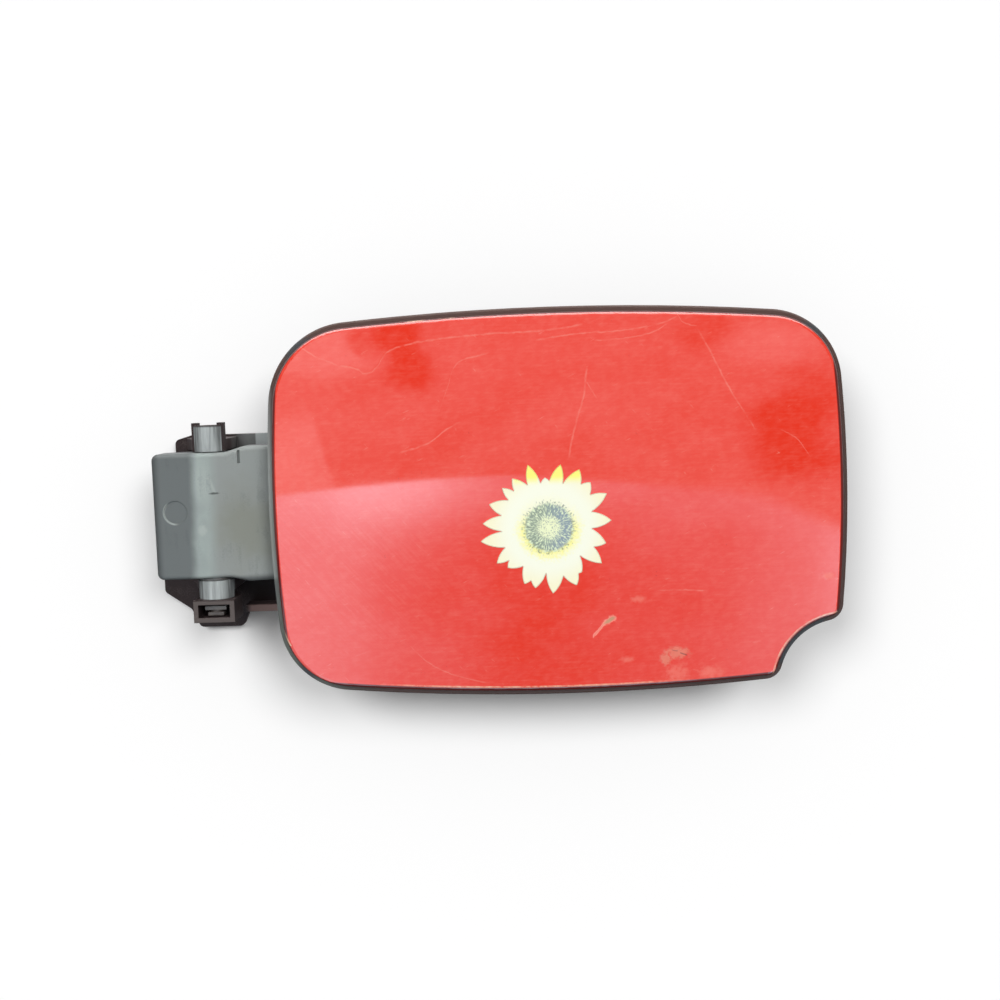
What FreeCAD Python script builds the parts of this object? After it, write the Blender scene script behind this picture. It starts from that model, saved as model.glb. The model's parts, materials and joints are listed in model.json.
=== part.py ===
# Fuel filler flap of a car: red skin on a moulded door, hinge bracket and tank stopper.
# Millimetres. The origin is the middle of the two mounting holes, on the bracket's mounting face.
# X runs along the car towards the flap's free edge, Y runs into the car and Z runs up.
import math
import os

import FreeCAD
import Part
import Sketcher
from FreeCAD import Vector

# Driving dimensions: alias, value, meaning
SIZES = [
    ("hinge_x", -25.3, "hinge axis from the mounting holes, along the car"),
    ("hinge_y", -25, "hinge axis from the mounting face"),
    ("hinge_z", 7.2, "middle of the knuckle above the middle of the holes"),
    ("hinge_reach", 23.6, "hinge axis to the skin's hinge-side edge"),
    ("pin_dia", 5, "hinge pin diameter"),
    ("pin_run", 0.05, "running clearance round the pin, on the radius"),
    ("panel_w", 192, "skin length along the car"),
    ("panel_h", 128, "skin height"),
    ("panel_rise", 8.5, "middle of the skin above the middle of the holes"),
    ("panel_front", 41, "foremost point of the skin from the mounting face"),
    ("corner_r", 23, "skin corner radius"),
    ("hinge_corner_r", 26.5, "skin corner radius above the hinge arm"),
    ("top_crown", 850, "radius of the skin's long edges"),
    ("side_crown", 500, "radius of the skin's short edges"),
    ("bulge_v", 900, "bulge radius of the skin from top to bottom"),
    ("bulge_h", 2600, "bulge radius of the skin along the car"),
    ("notch_r", 23.2, "finger notch radius"),
    ("notch_round", 4, "rounding where the notch meets the edges"),
    ("skin_sheet", 1, "sheet thickness of the skin"),
    ("skin_flange", 3.2, "depth of the skin's turned edge"),
    ("skin_edge", 1.5, "radius of the skin's turned edge"),
    ("skin_fit", 0.3, "gap between the skin and the door moulding"),
    ("rim", 2, "door rim showing round the skin"),
    ("lip_thick", 2.6, "thickness of the door rim"),
    ("lip_round", 0.8, "rounding of the door rim"),
    ("door_depth", 9, "depth of the door tray behind the skin's front"),
    ("door_wall", 2.2, "wall of the door tray"),
    ("rib_thick", 1.8, "thickness of the stiffening ribs"),
    ("rib_depth", 8, "back edge of the door ribs behind the skin's front"),
    ("rib_pitch_x", 34, "spacing of the upright door ribs"),
    ("rib_pitch_z", 36, "spacing of the lengthwise door ribs"),
    ("arm_wall", 2.5, "wall of the hinge arm"),
    ("knuckle_h", 43.4, "height of the arm at the hinge"),
    ("arm_step", 1.8, "rise of the arm above and below the knuckle, at the door"),
    ("arm_tail", 18.8, "tail of the arm beyond the hinge axis"),
    ("arm_front", 7, "front face of the arm before the hinge axis"),
    ("arm_slope", 15, "slope of the arm towards the door, degrees"),
    ("arm_bend", 25, "radius where the slope begins"),
    ("bend_x", -1.9, "place of that bend from the hinge axis"),
    ("tail_corner", 2.2, "rounding of the tail's upper and lower corners"),
    ("ramp_round", 5, "rounding of the ends of the arm's ramp"),
    ("arm_edge", 1.6, "rounding of the arm's front edges"),
    ("tail_back", 3, "back edge of the tail behind the hinge axis"),
    ("knuckle_back", 8.5, "back edge of the knuckle behind the hinge axis"),
    ("knuckle_half", 8, "half the length of the knuckle's back edge"),
    ("arm_back", 11, "back edge of the arm at its deepest"),
    ("arm_deep_x", 30, "place of the deepest point from the hinge axis"),
    ("arm_root", 58, "end of the arm's webs on the door, from the hinge axis"),
    ("root_back", -9, "back edge of the webs at that end"),
    ("ramp_start", 5.9, "place where the arm begins to widen"),
    ("ramp_end", 12, "place where the arm is at full height"),
    ("arm_rib_z", 9.5, "ribs in the arm, from its middle"),
    ("tube_dia", 11, "pivot tube in the arm"),
    ("mark_x", -11.2, "ejector mark on the arm, from the hinge axis"),
    ("mark_z", 1.6, "ejector mark from the arm's middle, upwards"),
    ("mark_r", 4, "radius of the ejector mark"),
    ("mark_deep", 0.3, "depth of the ejector mark"),
    ("slit_x", 10.7, "slit in the arm's front, from the hinge axis"),
    ("slit_top", 22.2, "upper end of the slit from the arm's middle"),
    ("slit_len", 4.4, "length of the slit"),
    ("slit_wide", 0.8, "width of the slit"),
    ("slit_deep", 1.2, "depth of the slit"),
    ("plate_thick", 3, "thickness of the bracket's base plate"),
    ("plate_right", 11, "base plate past the holes, towards the flap"),
    ("plate_left", -43, "hinge-side edge of the base plate"),
    ("plate_over", 0.9, "base plate above the upper ear"),
    ("shoulder_drop", 1.7, "fall of the base plate's upper edge to its hinge-side corner"),
    ("shoulder_run", 6, "length of that fall"),
    ("plate_foot", -29.8, "lower edge of the base plate"),
    ("plate_wing", -49.8, "tip of the wing at the base plate's lower corner"),
    ("wing_top", -14, "upper end of that wing"),
    ("wing_foot", -23.2, "lower end of that wing"),
    ("wing_slope", 6, "rise of the wing's sloping upper side"),
    ("tab_left", 12, "tab under the lock box, from the hinge axis towards the tail"),
    ("tab_right", 3.8, "that tab from the hinge axis towards the flap"),
    ("tab_foot", -36.6, "lower edge of that tab"),
    ("tab_slope", 3, "run of the tab's sloping sides"),
    ("plate_round", 2, "corner rounding of the base plate"),
    ("ledge_thick", 2.4, "thickness of the ledge along the base plate's foot"),
    ("ledge_rise", 9, "height of that ledge on the base plate"),
    ("bolt_spacing", 44, "spacing of the mounting holes"),
    ("bolt_hole", 5.5, "diameter of the mounting holes"),
    ("ear_thick", 4, "thickness of the bracket's ears"),
    ("ear_gap", 0.3, "gap between the upper ear and the knuckle"),
    ("ear_flare", 14, "foot of the ears past the hinge axis"),
    ("barrel_dia", 12, "lower pivot barrel"),
    ("barrel_drop", 2.6, "lower barrel below its ear"),
    ("upper_barrel_dia", 9.6, "upper pivot barrel"),
    ("barrel_rise", 5, "upper barrel above its ear"),
    ("lug_half", 5.5, "half the width across the upper barrel's side lugs"),
    ("lug_deep", 3.4, "depth of the side lugs"),
    ("lug_rise", 0.9, "side lugs above the upper barrel"),
    ("lug_wall", 0.8, "wall between the pin and the side lugs"),
    ("box_w", 14.2, "width of the lock box"),
    ("box_h", 7.8, "height of the lock box"),
    ("box_front", 6, "front of the lock box before the hinge axis"),
    ("box_back", 7, "back of the lock box behind the hinge axis"),
    ("box_wall", 1.6, "walls of the lock box"),
    ("recess_back", 3.6, "back of the lock box's recess behind the hinge axis"),
    ("web_thick", 4, "web between the lock box and the base plate"),
    ("stop_x", 7.2, "open stop from the hinge axis"),
    ("stop_thick", 3, "thickness of the open stop"),
    ("stop_rise", 7, "height of the open stop on the base plate"),
    ("stop_inset", 3, "ends of the open stop inside the knuckle's height"),
    ("head_len", 7.4, "length of the pin's T-head"),
    ("head_deep", 6.6, "depth of the pin's T-head"),
    ("head_thick", 1.4, "thickness of the pin's T-head"),
    ("foot_len", 5.4, "length of the bar at the pin's foot"),
    ("foot_thick", 1.2, "thickness of that bar"),
    ("foot_gap", 0.8, "gap between that bar and the T-head"),
    ("head_lift", 0.4, "foot of the pin above the floor of the lock box"),
    ("pin_top", 1, "top of the pin below the upper barrel's end"),
    ("pin_chamfer", 0.6, "chamfer of the pin's top"),
    ("washer_thick", 0.8, "friction washer thickness"),
    ("washer_dia", 11, "friction washer diameter"),
    ("washer_gap", 0.1, "gap on each side of the friction washer"),
    ("stopper_x", 4, "stopper from the middle of the skin, along the car"),
    ("stopper_z", 0, "stopper from the middle of the skin, upwards"),
    ("socket_r", 26.5, "bore radius of the stopper's socket"),
    ("socket_wall", 2.6, "wall of the socket"),
    ("socket_floor", 4.6, "floor of the socket behind the skin's front"),
    ("socket_end", 12, "end of the socket wall behind the skin's front"),
    ("ring_lap", 5, "retaining ring past the socket's bore, inwards"),
    ("ring_thick", 2.4, "thickness of the retaining ring's face"),
    ("ring_skirt", 4, "depth of the retaining ring's skirt"),
    ("ring_wall", 1.8, "wall of the skirt"),
    ("ring_fit", 0.1, "gap between the skirt and the socket"),
    ("ring_room", 0.5, "room for the skirt in the door's ribs"),
    ("flange_room", 1, "gap round the stopper's captive flange"),
    ("flange_thick", 3, "thickness of that flange"),
    ("flange_gap", 0.1, "gap between that flange and the retaining ring"),
    ("neck_room", 1.5, "gap between the stopper's neck and the retaining ring"),
    ("float_travel", 2.5, "travel of the stopper towards the door"),
    ("float_spare", 0.7, "room left between stopper and ring at full travel"),
    ("collar_inset", 1.5, "sealing collar inside the socket's radius"),
    ("collar_thick", 2.5, "thickness of the sealing collar"),
    ("seal_seat_r", 17.5, "radius under the seal"),
    ("seal_thick", 4.2, "seal thickness"),
    ("lip_inset", 0.8, "seal's lip inside the collar's radius"),
    ("seal_tip_r", 21, "radius of the seal at its tip"),
    ("plug_r", 19, "radius of the stopper's plug"),
    ("plug_len", 13, "length of the plug behind the seal"),
    ("plug_taper", 3, "lead-in at the plug's end"),
    ("plug_wall", 3, "wall of the hollow plug"),
    ("spring_strip", 2.2, "width of the stopper spring's flat wire"),
    ("spring_thick", 1, "thickness of that wire"),
    ("spring_inset", 5.5, "coil radius at the door inside the socket's radius"),
    ("spring_small", 11, "coil radius of the spring at the stopper"),
    ("spring_turns", 2.5, "turns of the spring"),
    ("striker_inset", 16, "lock striker from the skin's free edge"),
    ("striker_lift", 2, "seat of the lock striker behind the ribs' back edges"),
    ("striker_foot", 2.5, "foot thickness of the lock striker"),
    ("striker_len", 18, "foot length of the lock striker"),
    ("striker_h", 14, "height of the lock striker"),
    ("striker_eye", 5, "thickness of the striker's eye"),
    ("striker_reach", 17, "middle of the eye behind the skin's front"),
    ("eye_bore", 7.2, "bore of the striker's eye"),
    ("peg_dia", 4, "peg of the striker"),
    ("peg_len", 3.5, "length of that peg"),
    ("buffer_inset", 38, "rubber buffers from the skin's free edge"),
    ("buffer_drop", 20, "rubber buffers from the skin's upper and lower edges"),
    ("buffer_lift", 2.5, "seat of the buffers behind the ribs' back edges"),
    ("buffer_dia", 10, "diameter of the buffers"),
    ("buffer_tall", 5, "height of the buffers"),
    ("buffer_dome", 1.5, "rounding of the buffers"),
    ("stem_dia", 4.5, "stem of the buffers"),
    ("stem_len", 4, "length of the stems"),
    ("film", 0.15, "thickness of the sticker"),
    ("flower_x", -3.2, "flower from the middle of the skin, along the car"),
    ("flower_z", -7.6, "flower from the middle of the skin, upwards"),
    ("flower_r", 23.4, "radius at the longest petals"),
    ("slab_margin", 70, "run of the curved working slabs past the skin"),
]
# Petals of the flower: direction of the tip in degrees and its share of the flower's radius,
# then the same for the valley that follows
PETALS = [
    (5, 0.90, 19, 0.65), (29, 0.96, 37, 0.75), (46, 0.88, 52, 0.77), (61, 0.94, 71, 0.66),
    (78, 0.92, 88, 0.67), (93, 0.72, 99, 0.65), (107, 0.95, 115, 0.68), (125, 0.88, 132, 0.72),
    (138, 0.88, 144, 0.70), (157, 0.92, 164, 0.70), (175, 0.95, 183, 0.67), (190, 1.00, 203, 0.69),
    (213, 0.91, 218, 0.74), (223, 0.83, 235, 0.67), (245, 0.89, 250, 0.81), (256, 0.90, 265, 0.66),
    (272, 0.96, 285, 0.73), (294, 0.93, 301, 0.79), (305, 0.80, 316, 0.60), (324, 0.92, 335, 0.70),
    (343, 0.85, 357, 0.61),
]
# Rise of a petal's side above its chord, as a share of the chord
PETAL_BULGE = 0.08
# Smallest length that counts
HAIR = 0.001
# Parts that an edge is divided into when its depth is tested
EDGE_STEPS = 4
# A face looks forwards when its normal points this far along -Y
FORWARD = 0.9
# Ribs on each side of the door's middle, upright and lengthwise
UPRIGHT_RIBS = 2
LENGTHWISE_RIBS = 1

doc = FreeCAD.newDocument("fuel_filler_flap")
sheet = doc.addObject("Spreadsheet::Sheet", "Dim")
for row, (alias, value, meaning) in enumerate(SIZES, start=1):
    sheet.set(f"A{row}", meaning)
    sheet.set(f"B{row}", str(value))
    sheet.setAlias(f"B{row}", alias)
doc.recompute()

# Places that follow from the driving dimensions
PANEL_X = "(Dim.hinge_x + Dim.hinge_reach + Dim.panel_w / 2)"
PANEL_AT = (PANEL_X, "-Dim.panel_front", "Dim.panel_rise")
HINGE_AT = ("Dim.hinge_x", "Dim.hinge_y", "Dim.hinge_z")
STOPPER_AT = (PANEL_X + " + Dim.stopper_x", "-Dim.panel_front", "Dim.panel_rise + Dim.stopper_z")
INSET = "(Dim.skin_sheet + Dim.skin_fit)"
PLATE_BACK = "(Dim.skin_sheet + Dim.skin_fit + Dim.door_wall)"
LIP_FRONT = "(Dim.skin_flange + Dim.skin_fit)"
ARM_H = "(Dim.knuckle_h + 2 * Dim.arm_step)"
KNUCKLE_FOOT = "(Dim.hinge_z - Dim.knuckle_h / 2)"
UPPER_EAR = "(Dim.hinge_z + Dim.knuckle_h / 2 + Dim.ear_gap)"
LOWER_EAR = f"({KNUCKLE_FOOT} - Dim.washer_thick - 2 * Dim.washer_gap)"
BOX_TOP = f"({LOWER_EAR} - Dim.ear_thick - Dim.barrel_drop)"
BARREL_END = f"({UPPER_EAR} + Dim.ear_thick + Dim.barrel_rise)"


def size(alias):
    return float(getattr(sheet, alias))


def place(item, where):
    for axis, text in zip("xyz", where):
        item.setExpression(f"Placement.Base.{axis}", text)
    return item


def new_body(name, where=None):
    body = doc.addObject("PartDesign::Body", name)
    if where:
        place(body, where)
    return body


def new_sketch(body, role, lift=None):
    sketch = body.newObject("Sketcher::SketchObject", body.Name + "_sketch")
    plane = [item for item in body.Origin.OriginFeatures if item.Role == role][0]
    sketch.AttachmentSupport = [(plane, "")]
    sketch.MapMode = "FlatFace"
    if lift:
        sketch.setExpression("AttachmentOffset.Base.z", lift)
    return sketch


def bind(sketch, kind, *target):
    *where, value, text = target
    index = sketch.addConstraint(Sketcher.Constraint(kind, *where, value))
    sketch.setExpression(f"Constraints[{index}]", text)


def polygon(sketch, points):
    """Closed outline whose corners are bound to expressions."""
    first = sketch.GeometryCount
    count = len(points)
    ring = [Vector(math.cos(math.tau * k / count), math.sin(math.tau * k / count), 0) for k in range(count)]
    for k in range(count):
        sketch.addGeometry(Part.LineSegment(ring[k], ring[(k + 1) % count]), False)
    for k in range(count):
        sketch.addConstraint(Sketcher.Constraint("Coincident", first + k, 2, first + (k + 1) % count, 1))
    for k, (across, up) in enumerate(points):
        bind(sketch, "DistanceX", -1, 1, first + k, 1, ring[k].x, across)
        bind(sketch, "DistanceY", -1, 1, first + k, 1, ring[k].y, up)
    return sketch


def rectangle(sketch, left, right, low, high):
    return polygon(sketch, [(left, low), (right, low), (right, high), (left, high)])


def circle(sketch, across, up, radius):
    index = sketch.addGeometry(Part.Circle(Vector(1, 1, 0), Vector(0, 0, 1), 1), False)
    bind(sketch, "DistanceX", -1, 1, index, 3, 1, across)
    bind(sketch, "DistanceY", -1, 1, index, 3, 1, up)
    bind(sketch, "Radius", index, 1, radius)
    return sketch


def pad(body, sketch, length, both=False, flip=False):
    feature = body.newObject("PartDesign::Pad", body.Name + "_pad")
    feature.Profile = sketch
    feature.setExpression("Length", length)
    feature.SideType = "Symmetric" if both else "One side"
    feature.Reversed = flip
    return settle(body, feature)


def pocket(body, sketch, length=None, flip=False):
    """Cut along the sketch's normal, or right through both ways when no length is given."""
    feature = body.newObject("PartDesign::Pocket", body.Name + "_pocket")
    feature.Profile = sketch
    feature.Reversed = flip
    if length:
        feature.setExpression("Length", length)
    else:
        feature.Type = "ThroughAll"
        feature.SideType = "Symmetric"
    return settle(body, feature)


def revolve(body, sketch, axis, angle="360"):
    feature = body.newObject("PartDesign::Revolution", body.Name + "_turn")
    feature.Profile = sketch
    feature.ReferenceAxis = (sketch, [axis])
    feature.setExpression("Angle", angle)
    feature.Midplane = True
    return settle(body, feature)


def mirror(body, feature, role):
    copy = body.newObject("PartDesign::Mirrored", body.Name + "_mirror")
    plane = [item for item in body.Origin.OriginFeatures if item.Role == role][0]
    copy.Originals = [feature]
    copy.MirrorPlane = (plane, [""])
    body.Tip = copy
    return settle(body, copy)


def dress(body, kind, radius, chosen):
    """Round or chamfer the edges of the body's last feature that the test picks."""
    base = body.Tip
    names = [f"Edge{k}" for k, edge in enumerate(base.Shape.Edges, start=1) if chosen(edge)]
    feature = body.newObject(f"PartDesign::{kind}", f"{body.Name}_{kind}")
    feature.Base = (base, names)
    feature.setExpression("Radius" if kind == "Fillet" else "Size", radius)
    return settle(body, feature)


def settle(body, feature):
    before = feature.BaseFeature.Shape.Volume if feature.BaseFeature else 0
    doc.recompute()
    if "Invalid" in feature.State or abs(feature.Shape.Volume - before) < HAIR:
        raise RuntimeError(f"{feature.Name} is {feature.State} or changed nothing")
    return feature


def join(kind, name, *items):
    result = doc.addObject(f"Part::{kind}", name)
    if kind in ("Cut", "Common"):
        result.Base, result.Tool = items
    else:
        result.Shapes = list(items)
    result.Refine = True
    doc.recompute()
    return result


def rod(name, radius, height, where, along="z"):
    """Cylinder that starts at a place and runs along an axis."""
    item = doc.addObject("Part::Cylinder", name)
    turn = {"x": (Vector(0, 1, 0), 90), "y": (Vector(1, 0, 0), -90), "z": (Vector(0, 0, 1), 0)}[along]
    item.Placement = FreeCAD.Placement(Vector(), FreeCAD.Rotation(*turn))
    item.setExpression("Radius", radius)
    item.setExpression("Height", height)
    return place(item, where)


def span(edge):
    """Middle of an edge and the direction from its first to its last vertex."""
    ends = [vertex.Point for vertex in edge.Vertexes]
    middle = edge.valueAt((edge.FirstParameter + edge.LastParameter) / 2)
    return middle, (ends[-1] - ends[0])


# Curved surfaces parallel to the skin
def depth_behind_skin(point):
    """Depth below the bulged front surface, in the panel's own coordinates."""
    ring = math.hypot(point.x, size("bulge_h") - point.y) - (size("bulge_h") - size("bulge_v"))
    return size("bulge_v") - math.hypot(ring, point.z)


def at_depth(edge, depth):
    stretch = (edge.LastParameter - edge.FirstParameter) / EDGE_STEPS
    points = [edge.valueAt(edge.FirstParameter + stretch * k) for k in range(EDGE_STEPS + 1)]
    return all(abs(depth_behind_skin(point) - depth) < HAIR for point in points)


def band_section(body, near, far):
    """Section of a slab between two depths behind the skin, with the axis it turns about."""
    sketch = new_sketch(body, "YZ_Plane")
    rise = size("panel_h") / 2 + size("slab_margin")
    rise_text = "Dim.panel_h / 2 + Dim.slab_margin"
    bulge = size("bulge_v")
    half = math.asin(rise / bulge)
    ring = Part.Circle(Vector(bulge, 0, 0), Vector(0, 0, 1), bulge)
    for text in (near, far):
        index = sketch.addGeometry(Part.ArcOfCircle(ring, math.pi - half, math.pi + half), False)
        sketch.addConstraint(Sketcher.Constraint("PointOnObject", index, 3, -1))
        bind(sketch, "DistanceX", -1, 1, index, 3, bulge, "Dim.bulge_v")
        bind(sketch, "Radius", index, bulge, f"Dim.bulge_v - ({text})")
        bind(sketch, "DistanceY", -1, 1, index, 1, rise, rise_text)
        bind(sketch, "DistanceY", index, 2, -1, 1, rise, rise_text)
    for end in (1, 2):
        start = Vector(0, rise if end == 1 else -rise, 0)
        line = sketch.addGeometry(Part.LineSegment(start, start + Vector(size("skin_flange"), 0, 0)), False)
        sketch.addConstraint(Sketcher.Constraint("Coincident", line, 1, 0, end))
        sketch.addConstraint(Sketcher.Constraint("Coincident", line, 2, 1, end))
    bulge_h = size("bulge_h")
    axis = sketch.addGeometry(Part.LineSegment(Vector(bulge_h, 0, 0), Vector(bulge_h, rise, 0)), True)
    bind(sketch, "DistanceX", -1, 1, axis, 1, bulge_h, "Dim.bulge_h")
    bind(sketch, "DistanceY", -1, 1, axis, 2, rise, rise_text)
    sketch.addConstraint(Sketcher.Constraint("PointOnObject", axis, 1, -1))
    sketch.addConstraint(Sketcher.Constraint("Vertical", axis))
    return sketch


def meeting(centre_a, radius_a, centre_b, radius_b, near):
    """Point at given distances from two centres, the one nearest to a guess."""
    line = centre_b - centre_a
    along = (line.Length ** 2 + radius_a ** 2 - radius_b ** 2) / (2 * line.Length)
    aside = math.sqrt(max(radius_a ** 2 - along ** 2, 0))
    unit = line / line.Length
    foot = centre_a + unit * along
    sides = [foot + Vector(-unit.y, unit.x, 0) * aside * sign for sign in (1, -1)]
    return min(sides, key=lambda point: (point - near).Length)


def outline(body, grow):
    """Outline of the skin with its finger notch, grown by an expression, inside a plain frame."""
    sketch = new_sketch(body, "XZ_Plane")
    half_w, half_h = size("panel_w") / 2, size("panel_h") / 2
    notch, small = size("notch_r"), size("notch_round")
    crown, side = size("top_crown"), size("side_crown")
    top, foot = Vector(0, half_h - crown, 0), Vector(0, crown - half_h, 0)
    right, left = Vector(half_w - side, 0, 0), Vector(side - half_w, 0, 0)
    pit = Vector(half_w, -half_h, 0)
    corner, hinge_corner = size("corner_r"), size("hinge_corner_r")
    corners = []
    for long_edge, short_edge, near, radius in ((top, right, Vector(half_w, half_h, 0), corner),
                                                (top, left, Vector(-half_w, half_h, 0), hinge_corner),
                                                (foot, left, Vector(-half_w, -half_h, 0), corner)):
        corners.append(meeting(long_edge, crown - radius, short_edge, side - radius, near))
    low = meeting(foot, crown - small, pit, notch + small, Vector(half_w - notch, -half_h, 0))
    high = meeting(right, side - small, pit, notch + small, Vector(half_w, notch - half_h, 0))

    # Arcs anticlockwise: centre, radius, expression of the radius, and the two centres that they meet
    grown = f"+ ({grow})"
    arcs = [
        (right, side, f"Dim.side_crown {grown}", high, corners[0]),
        (corners[0], corner, f"Dim.corner_r {grown}", right, top),
        (top, crown, f"Dim.top_crown {grown}", corners[0], corners[1]),
        (corners[1], hinge_corner, f"Dim.hinge_corner_r {grown}", top, left),
        (left, side, f"Dim.side_crown {grown}", corners[1], corners[2]),
        (corners[2], corner, f"Dim.corner_r {grown}", left, foot),
        (foot, crown, f"Dim.top_crown {grown}", corners[2], low),
        (low, small, f"Dim.notch_round {grown}", foot, pit),
        (pit, notch, f"Dim.notch_r - ({grow})", high, low),
        (high, small, f"Dim.notch_round {grown}", pit, right),
    ]
    for centre, radius, text, before, after in arcs:
        angles = []
        for other in (before, after):
            inside = centre in corners + [low, high] and other in (top, foot, left, right)
            way = centre - other if inside else other - centre
            angles.append(math.atan2(way.y, way.x))
        if angles[1] < angles[0]:
            angles[1] += math.tau
        sketch.addGeometry(Part.ArcOfCircle(Part.Circle(centre, Vector(0, 0, 1), radius), *angles), False)
        bind(sketch, "Radius", sketch.GeometryCount - 1, radius, text)
    # Each arc runs on into the next one; the notch is hollow, so its arc runs backwards
    right_arc, top_arc, left_arc, foot_arc, notch_arc = 0, 2, 4, 6, 8
    for k in range(len(arcs)):
        after = (k + 1) % len(arcs)
        end = 1 if k == notch_arc else 2
        start = 2 if after == notch_arc else 1
        sketch.addConstraint(Sketcher.Constraint("Tangent", k, end, after, start))
    for index, centre, text in ((top_arc, top, "Dim.panel_h / 2 - Dim.top_crown"),
                                (foot_arc, foot, "Dim.top_crown - Dim.panel_h / 2")):
        sketch.addConstraint(Sketcher.Constraint("PointOnObject", index, 3, -2))
        bind(sketch, "DistanceY", -1, 1, index, 3, centre.y, text)
    for index, centre, text in ((right_arc, right, "Dim.panel_w / 2 - Dim.side_crown"),
                                (left_arc, left, "Dim.side_crown - Dim.panel_w / 2")):
        sketch.addConstraint(Sketcher.Constraint("PointOnObject", index, 3, -1))
        bind(sketch, "DistanceX", -1, 1, index, 3, centre.x, text)
    bind(sketch, "DistanceX", -1, 1, notch_arc, 3, half_w, "Dim.panel_w / 2")
    bind(sketch, "DistanceY", -1, 1, notch_arc, 3, -half_h, "-Dim.panel_h / 2")
    reach = "(Dim.panel_w + Dim.slab_margin)"
    return rectangle(sketch, "-" + reach, reach, "-" + reach, reach)


def curved_slab(name, near, far, grow=None):
    """Slab between two depths behind the skin, trimmed to the grown outline if one is given."""
    body = new_body(name, PANEL_AT)
    sweep = "2 * asin((Dim.panel_w / 2 + Dim.slab_margin) / Dim.bulge_h)"
    revolve(body, band_section(body, near, far), "Axis0", sweep)
    if grow:
        pocket(body, outline(body, grow))
    return body


# Red skin: a sheet bulged both ways with its edge turned back
skin_blank = curved_slab("skin_blank", "0", "Dim.skin_flange", "0")
dress(skin_blank, "Fillet", "Dim.skin_edge", lambda edge: at_depth(edge, 0))
skin_hollow = curved_slab("skin_hollow", "Dim.skin_sheet", "2 * Dim.skin_flange", "-Dim.skin_sheet")
outer_skin = join("Cut", "outer_skin", skin_blank, skin_hollow)

# Door moulding: a tray inside the skin with a lip that shows as the rim
door_tray = curved_slab("door_tray", INSET, "Dim.door_depth", "-" + INSET)
door_lip = curved_slab("door_lip", LIP_FRONT, LIP_FRONT + " + Dim.lip_thick", "Dim.rim")
lip_front = size("skin_flange") + size("skin_fit")
lip_faces = (lip_front, lip_front + size("lip_thick"))
dress(door_lip, "Fillet", "Dim.lip_round", lambda edge: any(at_depth(edge, face) for face in lip_faces))
door_hollow = curved_slab("door_hollow", PLATE_BACK, "4 * Dim.door_depth", "-" + PLATE_BACK)
door_solid = join("MultiFuse", "door_solid", door_tray, door_lip)
door_shell = join("Cut", "door_shell", door_solid, door_hollow)

# Stiffening ribs inside the tray, cut to the tray's curve and clear of the retaining ring
MID_PLATE = f"({PLATE_BACK} - Dim.door_wall / 2)"
MID_WALL = f"({INSET} + Dim.door_wall / 2)"
RING_INNER = "(Dim.socket_r + Dim.socket_wall + Dim.ring_fit)"
RING_OUTER = f"({RING_INNER} + Dim.ring_wall)"
RING_START = "(Dim.socket_end - Dim.ring_skirt)"
rib_field = curved_slab("rib_field", MID_PLATE, "Dim.rib_depth", f"-{MID_WALL}")
rib_grid = new_body("rib_grid", PANEL_AT)
grid_sketch = new_sketch(rib_grid, "XZ_Plane")
half_rib = "Dim.rib_thick / 2"
for step in range(-UPRIGHT_RIBS, UPRIGHT_RIBS + 1):
    middle = f"{step} * Dim.rib_pitch_x"
    rectangle(grid_sketch, f"{middle} - {half_rib}", f"{middle} + {half_rib}", "-Dim.panel_h", "Dim.panel_h")
pad(rib_grid, grid_sketch, "Dim.panel_front", both=True)
for step in range(-LENGTHWISE_RIBS, LENGTHWISE_RIBS + 1):
    middle = f"{step} * Dim.rib_pitch_z"
    bar_sketch = new_sketch(rib_grid, "XZ_Plane")
    rectangle(bar_sketch, "-Dim.panel_w", "Dim.panel_w", f"{middle} - {half_rib}", f"{middle} + {half_rib}")
    pad(rib_grid, bar_sketch, "Dim.panel_front", both=True)
curved_ribs = join("Common", "curved_ribs", rib_grid, rib_field)
ring_relief = rod("ring_relief", f"{RING_OUTER} + Dim.ring_room", "Dim.panel_front",
                  (STOPPER_AT[0], f"{RING_START} - Dim.ring_room - Dim.panel_front", STOPPER_AT[2]), "y")
door_ribs = join("Cut", "door_ribs", curved_ribs, ring_relief)


# Hinge arm: a box open at the back, narrowed at the knuckle
ARM_SIDE = f"(Dim.hinge_reach + {MID_WALL})"


def slope_at(place_text):
    return f"(({place_text} - Dim.bend_x) * tan(Dim.arm_slope) - Dim.arm_front)"


def narrow(body, half_full, half_knuckle):
    """Cut the arm down to the knuckle's height, with a ramp up to the full height."""
    sketch = new_sketch(body, "XZ_Plane")
    far = "-2 * Dim.arm_tail"
    over = f"{half_full} + Dim.arm_wall"
    polygon(sketch, [(far, half_knuckle), ("Dim.ramp_start", half_knuckle), ("Dim.ramp_end", half_full),
                     ("Dim.ramp_end", over), (far, over)])
    mirror(body, pocket(body, sketch), "XY_Plane")


def upright_at(across, forward):
    """Test for an upright edge at a given place from the hinge axis."""
    def chosen(edge):
        middle, way = span(edge)
        return way.Length - abs(way.z) < HAIR and math.hypot(middle.x - across, middle.y - forward) < HAIR
    return chosen


def level_at(*across):
    """Test for an edge that runs front to back at one of the given places from the hinge axis."""
    def chosen(edge):
        middle, way = span(edge)
        return way.Length - abs(way.y) < HAIR and min(abs(middle.x - place) for place in across) < HAIR
    return chosen


def rims_front(body):
    """Test for the edges round the front face of the arm."""
    def chosen(edge):
        middle = span(edge)[0]
        faces = body.Tip.Shape.ancestorsOfType(edge, Part.Face)
        normals = [face.normalAt(*face.Surface.parameter(middle)) for face in faces]
        front = [normal for normal in normals if normal.y < -FORWARD]
        return len(front) == 1 and middle.x < size("hinge_reach")
    return chosen


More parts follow.
